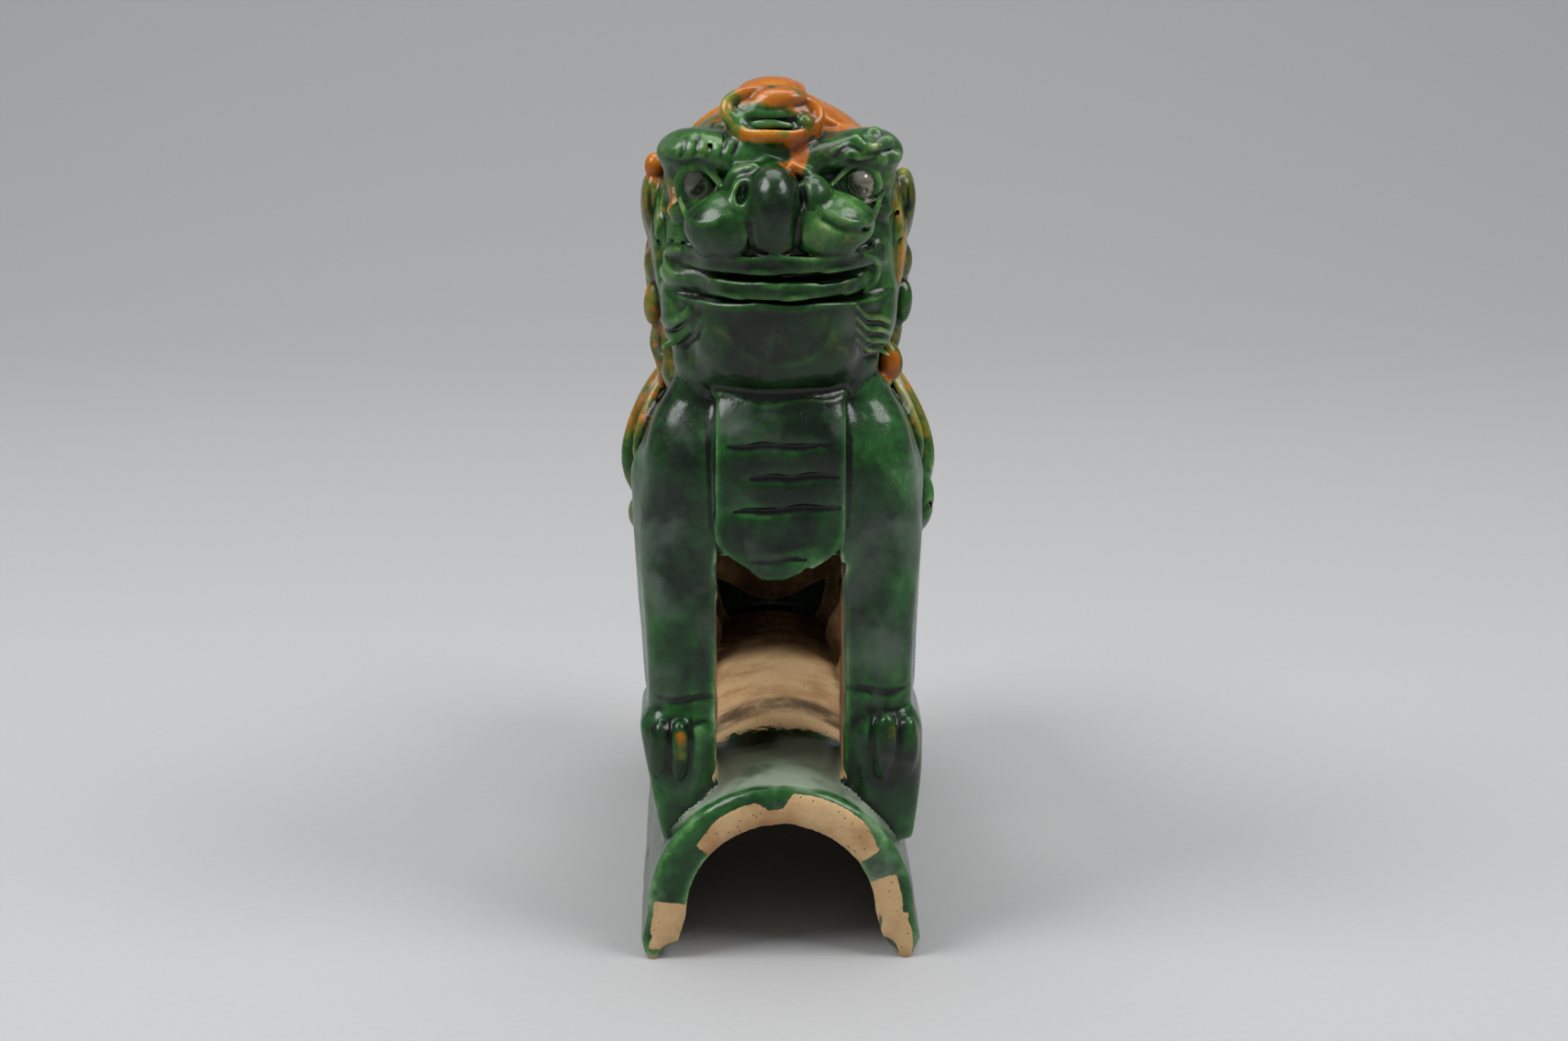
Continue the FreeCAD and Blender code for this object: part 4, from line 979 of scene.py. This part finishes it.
def shade(node, points):
    """How thinly the glaze was brushed on, before it ran, with a painted highlight on the right muzzle pad: about
    0.4 is even, and less is darker.
    """
    x, y, z = points.T
    amount = np.full(len(points), BRUSHED.get(node, 0.38))
    if node == "lower_jaw":
        amount -= 0.1 * (1 - ramp_up(np.abs(x), 24, 32))
    if node.startswith("body_half"):
        amount += 0.12 * ramp_up(x, 20, 34) * within(z, 165, 205, 8)
        amount -= 0.12 * ramp_up(-x, 20, 34) * within(z, 158, 205, 6)
    if node == "muzzle":
        # painted highlight: lighter on the top of the right muzzle pad; the left pad a little darker
        amount += 0.14 * ramp_up(x, 4, 14) * ramp_up(z, 256, 264) - 0.06 * ramp_up(-x, 8, 14)
    if node == "face_mask":
        amount += 0.1 * ramp_up(np.abs(x), 30, 36) * within(z, 230, 275, 8)
    return amount


def paint_tile(points):
    """How bare the tile is: inside, in patches on its front rim, and on the crown behind the forelegs."""
    x, y, z = points.T
    radius = from_arch(x, z)
    angle = np.degrees(np.arctan2(np.maximum(z - ARCH_Z, 0), x))
    inside = 1 - ramp_up(radius, 34.0, 35.2)
    across = (radius - ARCH_INSIDE) / ARCH_WALL
    on_arch = z > 17
    wiped_to = np.interp(angle, (38, 50, 84, 89, 96, 102, 120, 136),
                         (0.6, 0.8, 0.85, 0.4, 0.35, 0.62, 0.6, 0.4))
    rim = np.where(
        on_arch,
        within(angle, 36, 137, 3) * (1 - ramp_up(across - wiped_to, 0.0, 0.12)),
        np.where(
            x < 0,
            within(z, 4.5, 20, 1.5) * (1 - ramp_up(-x, 46.0, 47.5)),
            within(z, -1, 26, 1.5) * (1 - ramp_up(x, 45.5, 47.5) * ramp_up(z, 5, 8)),
        ),
    )
    low_right = within(angle, -1, 20, 2) * (1 - ramp_up(across, 0.6, 0.8))
    rim = np.maximum(rim, np.where(on_arch & (x > 0), low_right, 0))
    rim = np.maximum(rim, np.where(on_arch & (x < 0), within(angle, 174, 181, 2), 0))
    front = 1 - ramp_up(y, -114.6, -113.6)
    rear = ramp_up(y, 123.6, 124.6)
    crown = (0.25 + 0.4 * ramp_up(y, -62, -40) + 0.35 * ramp_up(y, -16, 4)) * ramp_up(y, -80, -50)
    outside = crown * (1 - ramp_up(np.abs(x), 24, 27)) * ramp_up(radius, 40, 44) * (1 - ramp_up(y, 90, 110))
    feet = 1 - ramp_up(z, 0.6, 2.0)
    return np.maximum.reduce([inside * (1 - front), rim * front, outside * (1 - front), 0.8 * rear, feet])


def painted(node, data):
    """How amber, bare and thinly glazed each point of a piece is, and where painted shade and a painted sheen lie on
    it.
    """
    points = data["points"]
    x, y, z = points.T
    amber = np.full(len(points), AMBER.get(node, 0.2 if family(node) in HEAD else 0.04))
    if node == "mane_cap":
        amber += 0.3 * ramp_up(x, -6, 8) * ramp_up(z, 276, 286) - 0.22 * ramp_up(-x, 20, 34)
    if node.startswith(("shoulder_flame", "body_half")):
        amber += 0.25 * ramp_up(np.abs(x), 30, 44) * within(z, 180, 204, 6) * within(y, -75, -20, 8)
    for line, radius, strength in AMBER_STROKES:
        amber = np.maximum(amber, strength * stroke(points, line, radius))
    for line, radius, strength in GREEN_STROKES:
        amber *= 1 - strength * stroke(points, line, radius)
    bare = paint_tile(points) if node == "ridge_tile" else np.zeros(len(points))
    for line, radius, strength in BARE_STROKES:
        bare = np.maximum(bare, strength * stroke(points, line, radius))
    if node.startswith("body_half"):
        # nothing was brushed on the inside of the hollow body
        along = (-110, -70, -10, 60, 114)
        centre_z = np.interp(y, along, (166, 162, 150, 116, 92))
        half_z = np.interp(y, along, (14, 40, 40, 48, 24))
        half_x = np.interp(y, (-110, -92, -70, 25, 88, 114), (12, 41, 46, 43, 41, 8))
        core = (np.abs(x) / half_x) ** 2.25 + (np.abs(z - centre_z) / half_z) ** 2.25
        bare = np.maximum(bare, 1 - ramp_up(core, 1.06, 1.16))
    if node.startswith(("foreleg", "forepaw")):
        bare = np.maximum(bare, 0.9 * (1 - ramp_up(np.abs(x), 22.9, 24.2)) * ramp_up(y, -96, -88))
    if node in ("head_back", "face_mask"):
        core = (x / 33) ** 2 + ((y + 70) / 35.5) ** 2 + ((z - 248) / 39.5) ** 2
        bare = np.maximum(bare, 1 - ramp_up(core, 0.9, 1.0))
    if family(node) in ("foreleg", "forepaw", "haunch", "hind_paw", "body_half"):
        # inside the gap between the legs the clay was left bare
        inner = (1 - ramp_up(np.abs(x), 25, 30)) * within(y, -87, 98, 3) * (1 - ramp_up(z, 150, 156))
        bare = np.maximum(bare, inner)
    painted_shade = np.zeros(len(points))
    for line, radius, strength in PAINTED_SHADE_STROKES:
        painted_shade = np.maximum(painted_shade, strength * stroke(points, line, radius))
    if node == "ridge_tile":
        # painted shade: darker deep inside the tile's arch, and on its crown under the back of the body
        hollow = 1 - ramp_up(from_arch(x, z), 33.6, 35)
        painted_shade = np.maximum(painted_shade, 0.7 * hollow * ramp_up(y, -114.4, -108))
        painted_shade = np.maximum(painted_shade, 0.75 * ramp_up(y, 30, 75) * ramp_up(z, 40, 50))
    if family(node) in ("body_half", "haunch", "foreleg"):
        # painted shade: the bare inside of the body and legs grows darker further back into the hollow
        painted_shade = np.maximum(painted_shade, 0.7 * bare * ramp_up(y, -88, -50))
    # painted sheen: a grey painted reflection down the front of the forelegs
    bloom_and_sheen = 0.42 * within(z, 96, 150, 12) * within(y, -110, -84, 6) * (np.abs(x) > 22)
    if node == "ridge_tile":
        # painted light: the tile's upward-facing top in front is made lighter, over its weathering
        bloom_and_sheen = 0.95 * (1 - ramp_up(y, -82, -50)) * ramp_up(y, -114, -108) * ramp_up(z, 34, 52)
    valley, fold = data["valley"], data["fold"]
    # glaze runs off ridges, where both are above zero, and pools in hollows
    thin = shade(node, points) + np.where(valley > 0, 0.14, 0.34) * valley
    thin = thin + np.where(fold > 0, 0.75, 0.8) * fold
    lustre = np.full(len(points), 0.9 if node == "eyeball_right" else 0.1)
    made = {"lustre": lustre, "amber": amber, "bare": bare, "painted_shade": painted_shade, "bloom_and_sheen": bloom_and_sheen, "thin": thin}
    return {name: np.clip(values, 0, 1) for name, values in made.items()}


# %% [markdown]
# ## Lead glaze over buff clay
# One recipe serves the green and the amber, because both are the same lead glass with copper or iron in
# it. Glass that pools in a groove is deep and dark, and glass that has run off a ridge is thin and milky.
# So the recipe starts from one number, the thickness, which comes from how hollow the surface is.

# %% The glaze recipe
def linear(code):
    """An sRGB hex colour as linear RGBA."""
    parts = [int(code[i:i + 2], 16) / 255 for i in (1, 3, 5)]
    return (*(v / 12.92 if v <= 0.04045 else ((v + 0.055) / 1.055) ** 2.4 for v in parts), 1.0)


def maths(tree, operation, first, second=0.0, clamp=False):
    node = add(tree, "ShaderNodeMath", {0: first, 1: second}, operation=operation, use_clamp=clamp)
    return node.outputs[0]


def raised(tree, value, other, share, clamp=False):
    """A value plus some share of another."""
    return maths(tree, "ADD", value, maths(tree, "MULTIPLY", other, share), clamp)


def wavering(tree, value, pattern, swing, clamp=False):
    """A value that rises and falls with a noise pattern."""
    return raised(tree, value, maths(tree, "SUBTRACT", pattern, 0.5), swing, clamp)


def mixed(tree, amount, first, second, blend="MIX"):
    node = add(tree, "ShaderNodeMix", {0: amount, 6: first, 7: second}, data_type="RGBA", blend_type=blend)
    return node.outputs[2]


def tones(tree, amount, *stops):
    """A colour ramp through (place, hex colour) stops."""
    node = add(tree, "ShaderNodeValToRGB", {0: amount})
    ramp = node.color_ramp
    while len(ramp.elements) < len(stops):
        ramp.elements.new(0.5)
    for element, (place, code) in zip(ramp.elements, stops):
        element.position, element.color = place, linear(code)
    return node.outputs[0]


def noise(tree, coords, size_mm, detail=3.0, rough=0.55, warp=0.0):
    """Noise whose blotches are about as wide as the size says."""
    node = add(tree, "ShaderNodeTexNoise", {"Vector": coords, "Scale": 1000 / size_mm, "Detail": detail,
                                            "Roughness": rough, "Distortion": warp})
    return node.outputs[0]


def kept(tree, name):
    """One of the painted numbers."""
    return add(tree, "ShaderNodeAttribute", attribute_name=name).outputs["Fac"]


def spread(tree, value, low, high):
    """A value stretched so that low gives 0 and high gives 1, softly."""
    node = add(tree, "ShaderNodeMapRange", {"Value": value, "From Min": low, "From Max": high},
               interpolation_type="SMOOTHSTEP")
    return node.outputs[0]


def blank(name):
    """A new material with an empty tree, and the object's own coordinates."""
    material = bpy.data.materials.new(name)
    material.use_nodes = True
    tree = material.node_tree
    tree.nodes.clear()
    return material, tree, add(tree, "ShaderNodeTexCoord").outputs["Object"]


def bare_clay(tree, coords):
    """Buff clay: sandy, with brown stains in blotches and iron specks."""
    sand = mixed(tree, noise(tree, coords, 0.7, 3, 0.7), linear("#bd9768"), linear("#dfc092"))
    stain = maths(tree, "MULTIPLY", spread(tree, noise(tree, coords, 26, 4, 0.55), 0.40, 0.70), 0.75)
    sand = mixed(tree, stain, sand, linear("#98673a"))
    specks = add(tree, "ShaderNodeTexVoronoi", {"Vector": coords, "Scale": 1000 / 2.4}, feature="F1")
    return mixed(tree, spread(tree, specks.outputs["Distance"], 0.16, 0.08), sand, linear("#4a3320"))


def crackle(tree, coords):
    """A fine net of hairlines about two millimetres apart, in patches."""
    shift = noise_shift(tree, coords)
    bent = add(tree, "ShaderNodeVectorMath", {0: coords, 1: shift}, operation="ADD").outputs[0]
    net = add(tree, "ShaderNodeTexVoronoi", {"Vector": bent, "Scale": 1000 / 2.1},
              feature="DISTANCE_TO_EDGE")
    line = spread(tree, net.outputs["Distance"], 0.03, 0.0)
    return maths(tree, "MULTIPLY", line, spread(tree, noise(tree, coords, 14, 2), 0.45, 0.62))


def glazed(name, pooled=0.0, bloom_and_sheen_tint="#626e63"):
    """Lead glaze with amber dabs, bare clay, painted shade and a painted sheen, as the painted numbers say."""
    material, tree, coords = blank(name)
    broad = noise(tree, coords, 24, 4, 0.62, 0.5)
    fine = noise(tree, coords, 3.2, 4, 0.6, 0.2)
    thin = maths(tree, "SUBTRACT", kept(tree, "thin"), pooled)
    thin = wavering(tree, wavering(tree, thin, broad, 1.15), fine, 0.30, True)
    # copper green: near black where it pools, bottle green, then milky sea green over the edges
    green = tones(tree, thin, (0.0, "#060d06"), (0.22, "#09200d"), (0.42, "#133d18"),
                  (0.62, "#285e2a"), (0.80, "#548350"), (1.0, "#a3bd99"))
    warmth = maths(tree, "MULTIPLY", kept(tree, "amber"), 3.5, True)
    green = mixed(tree, warmth, green, mixed(tree, 1.0, green, (1.45, 1.0, 0.7, 1.0), "MULTIPLY"))
    # iron amber: treacle in the grooves, orange on the flats, straw where it is thin
    amber = tones(tree, thin, (0.0, "#2e1606"), (0.22, "#7a3f08"), (0.45, "#a55a0b"), (0.68, "#bd7314"),
                  (0.86, "#cb8f34"), (1.0, "#dbb36c"))
    # where the two ran together they turn olive
    olive = tones(tree, thin, (0.0, "#14160a"), (0.25, "#333a0c"), (0.5, "#5c5f14"), (0.75, "#8c8430"),
                  (1.0, "#bdb574"))
    dab = wavering(tree, kept(tree, "amber"), noise(tree, coords, 9, 5, 0.65, 0.8), 1.1)
    glass = mixed(tree, spread(tree, dab, 0.28, 0.48), green, olive)
    glass = mixed(tree, spread(tree, dab, 0.50, 0.66), glass, amber)
    sand = bare_clay(tree, coords)
    wear = wavering(tree, kept(tree, "bare"), noise(tree, coords, 4.5, 5, 0.7, 0.6), 0.7)
    bare = spread(tree, wear, 0.46, 0.56)
    crack = crackle(tree, coords)
    glass = mixed(tree, maths(tree, "MULTIPLY", crack, 0.35), glass, linear("#0d140c"))
    # old glaze weathers to a faint silvery bloom in patches, and the painted sheen adds painted reflections on the
    # legs and painted light on the tile's top
    bloom_and_sheen = raised(tree, noise(tree, coords, 20, 3, 0.5, 0.3), kept(tree, "bloom_and_sheen"), 0.35)
    bloom_and_sheen = maths(tree, "MULTIPLY", spread(tree, bloom_and_sheen, 0.54, 0.86), 0.62)
    glass = mixed(tree, bloom_and_sheen, glass, linear(bloom_and_sheen_tint))
    colour = mixed(tree, bare, glass, sand)
    # the painted shade turns the colour near black in blotches
    patches = spread(tree, noise(tree, coords, 12, 4, 0.6), 0.2, 0.6)
    painted_shade_amount = maths(tree, "MULTIPLY", kept(tree, "painted_shade"), patches)
    colour = mixed(tree, painted_shade_amount, colour, linear("#1a150f"))
    rough = maths(tree, "ADD", maths(tree, "MULTIPLY", fine, 0.2), 0.14)
    rough = raised(tree, raised(tree, rough, bloom_and_sheen, 0.5), bare, 0.55, True)
    ripples = raised(tree, maths(tree, "MULTIPLY", noise(tree, coords, 5, 2), 0.8), fine, 0.25)
    grains = maths(tree, "MULTIPLY", noise(tree, coords, 0.8, 3, 0.7), maths(tree, "MULTIPLY", bare, 0.35))
    height = maths(tree, "SUBTRACT", ripples, maths(tree, "MULTIPLY", crack, 0.08))
    height = maths(tree, "ADD", height, grains)
    height = maths(tree, "SUBTRACT", height, maths(tree, "MULTIPLY", bare, 0.25))
    bump = add(tree, "ShaderNodeBump", {"Height": height, "Strength": 0.55, "Distance": 0.0006})
    skin = add(tree, "ShaderNodeBsdfPrincipled", {
        "Base Color": colour, "Roughness": rough, "IOR": 1.5, "Specular IOR Level": 0.32,
        "Normal": bump.outputs[0], "Coat Roughness": 0.06, "Coat IOR": 1.5,
        "Coat Weight": maths(tree, "MULTIPLY", maths(tree, "SUBTRACT", 1.0, bare), 0.14),
    })
    add(tree, "ShaderNodeOutputMaterial", {0: skin.outputs[0]})
    return material


def noise_shift(tree, coords):
    """A small random offset, so that straight lines come out crooked."""
    wander = add(tree, "ShaderNodeTexNoise", {"Vector": coords, "Scale": 1000 / 3.0, "Detail": 2.0})
    middle = add(tree, "ShaderNodeVectorMath", {0: wander.outputs["Color"], 1: (0.5, 0.5, 0.5)},
                 operation="SUBTRACT")
    return add(tree, "ShaderNodeVectorMath", {0: middle.outputs[0], "Scale": 0.0016},
               operation="SCALE").outputs[0]


def lustred(name):
    """The eyeballs: green glaze that fired to a dark metallic lustre."""
    material, tree, coords = blank(name)
    cloud = noise(tree, coords, 3.0, 4, 0.6, 0.5)
    metal = tones(tree, cloud, (0.3, "#6a6f5c"), (0.5, "#918a7a"), (0.7, "#bdb8ac"))
    colour = mixed(tree, kept(tree, "lustre"), linear("#1c2c17"), metal)
    bump = add(tree, "ShaderNodeBump", {"Height": cloud, "Strength": 0.1, "Distance": 0.0003})
    skin = add(tree, "ShaderNodeBsdfPrincipled", {
        "Base Color": colour, "Metallic": maths(tree, "MULTIPLY", kept(tree, "lustre"), 0.7),
        "Roughness": 0.2, "IOR": 1.8, "Coat Weight": 0.6, "Coat Roughness": 0.05,
        "Normal": bump.outputs[0],
    })
    add(tree, "ShaderNodeOutputMaterial", {0: skin.outputs[0]})
    return material


FINISHES = {
    "green_glaze": glazed("copper_green_lead_glaze"),
    "amber_glaze": glazed("iron_amber_lead_glaze", pooled=-0.06),
    # the tile's paler tint makes its painted light on the top
    "tile_clay": glazed("thin_green_glaze_on_buff_clay", bloom_and_sheen_tint="#a9b8a2"),
    "eye_glaze": lustred("lustred_green_glaze"),
}
SLOT_OF = {row["node"]: row["material_slot"] for row in frame["record"]["subparts"]}


# %% [markdown]
# ## Setting the pieces out
# Each parted mesh becomes one object. It stands for its CAD node, rides on the one fixed body, and takes
# its finish from the record's slot. The soft normals come straight from the clay, so the faces are smooth
# without being blurred.

# %% Make the pieces
def put_out(node, data):
    """One closed mesh with its painted numbers and its finish, riding on the fixed body."""
    mesh = bpy.data.meshes.new(f"{node}_clay")
    points, faces = data["points"], data["faces"]
    mesh.vertices.add(len(points))
    mesh.vertices.foreach_set("co", (points * MM).astype(np.float32).ravel())
    mesh.loops.add(faces.size)
    mesh.loops.foreach_set("vertex_index", faces.astype(np.int32).ravel())
    mesh.polygons.add(len(faces))
    mesh.polygons.foreach_set("loop_start", np.arange(0, faces.size, 4, dtype=np.int32))
    mesh.polygons.foreach_set("use_smooth", np.ones(len(faces), bool))
    mesh.update(calc_edges=True)
    mesh.normals_split_custom_set_from_vertices(data["normals"].tolist())
    for name, values in painted(node, data).items():
        mesh.attributes.new(name, "FLOAT", "POINT").data.foreach_set("value", values.astype(np.float32))
    piece = bpy.data.objects.new(f"{node}_clay", mesh)
    bpy.context.scene.collection.objects.link(piece)
    mesh.materials.append(FINISHES[SLOT_OF[node]])
    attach(piece, "root")
    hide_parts(node)


for node in NODES:
    put_out(node, PIECES[node])
most = max(NODES, key=lambda n: len(PIECES[n]["faces"]))
print(f"{len(PIECES)} pieces, {sum(len(p['faces']) for p in PIECES.values())} faces;",
      f"the largest is {most} with {len(PIECES[most]['faces'])}")

# %% [markdown]
# ## The studio
# A grey paper sweep, a soft box high on each side, a broad one overhead, and a little light from
# everywhere. The plain Standard view keeps the greens as deep as they were mixed.

# %% Floor, lights and camera
def paper():
    """Plain grey paper with a faint grain."""
    material = bpy.data.materials.new("grey_paper")
    material.use_nodes = True
    tree = material.node_tree
    skin = tree.nodes["Principled BSDF"]
    coords = add(tree, "ShaderNodeTexCoord").outputs["Object"]
    grain = mixed(tree, noise(tree, coords, 3.0, 4, 0.7), linear("#a9a9aa"), linear("#b1b1b2"))
    tree.links.new(grain, skin.inputs["Base Color"])
    skin.inputs["Roughness"].default_value = 0.85
    return material


def sweep():
    """A sheet of paper that lies flat and then curves up behind."""
    profile = [(-3.0, 0.0), (0.9, 0.0)]
    profile += [(0.9 + 1.2 * math.sin(a), 1.2 * (1 - math.cos(a))) for a in np.linspace(0.1, 1.5, 14)]
    profile.append((2.2, 4.0))
    mesh = bpy.data.meshes.new("paper_sweep")
    corners = [(x, y, z) for y, z in profile for x in (-4.0, 4.0)]
    strips = [(2 * i, 2 * i + 1, 2 * i + 3, 2 * i + 2) for i in range(len(profile) - 1)]
    mesh.from_pydata(corners, [], strips)
    mesh.polygons.foreach_set("use_smooth", [True] * len(mesh.polygons))
    mesh.materials.append(paper())
    sheet = bpy.data.objects.new("paper_sweep", mesh)
    bpy.context.scene.collection.objects.link(sheet)
    return sheet


def soft_box(name, place, target, size, power):
    """A rectangle of light aimed at a target."""
    light = bpy.data.lights.new(name, "AREA")
    light.shape, light.size, light.size_y = "RECTANGLE", size[0], size[1]
    light.energy = power
    holder = bpy.data.objects.new(name, light)
    holder.location = place
    x, y, z = np.array(target) - np.array(place)
    holder.rotation_euler = (math.atan2(math.hypot(x, y), -z), 0, math.atan2(y, x) - math.pi / 2)
    bpy.context.scene.collection.objects.link(holder)


sweep()
soft_box("left_box", (-1.05, -0.45, 1.45), (0, 0, 0.12), (0.8, 0.8), 19)
soft_box("right_box", (1.05, -0.5, 1.45), (0, 0, 0.12), (0.8, 0.8), 16)
soft_box("top_box", (0.0, 0.2, 1.7), (0, 0, 0.1), (1.3, 0.9), 15)
world = bpy.data.worlds.new("studio")
bpy.context.scene.world = world
bpy.context.scene.view_settings.view_transform = "Standard"
world.use_nodes = True
world.node_tree.nodes["Background"].inputs["Color"].default_value = linear("#c9cbcd")
world.node_tree.nodes["Background"].inputs["Strength"].default_value = 0.45

lens = bpy.data.cameras.new("camera")
lens.lens, lens.sensor_width, lens.clip_start = 50.0, 23.6, 0.01
camera = bpy.data.objects.new("camera", lens)
camera.location = (-0.0195, -1.204, 0.456)
camera.rotation_euler = (math.radians(90 - 15.2), 0, math.radians(-1.08))
bpy.context.scene.collection.objects.link(camera)
bpy.context.scene.camera = camera
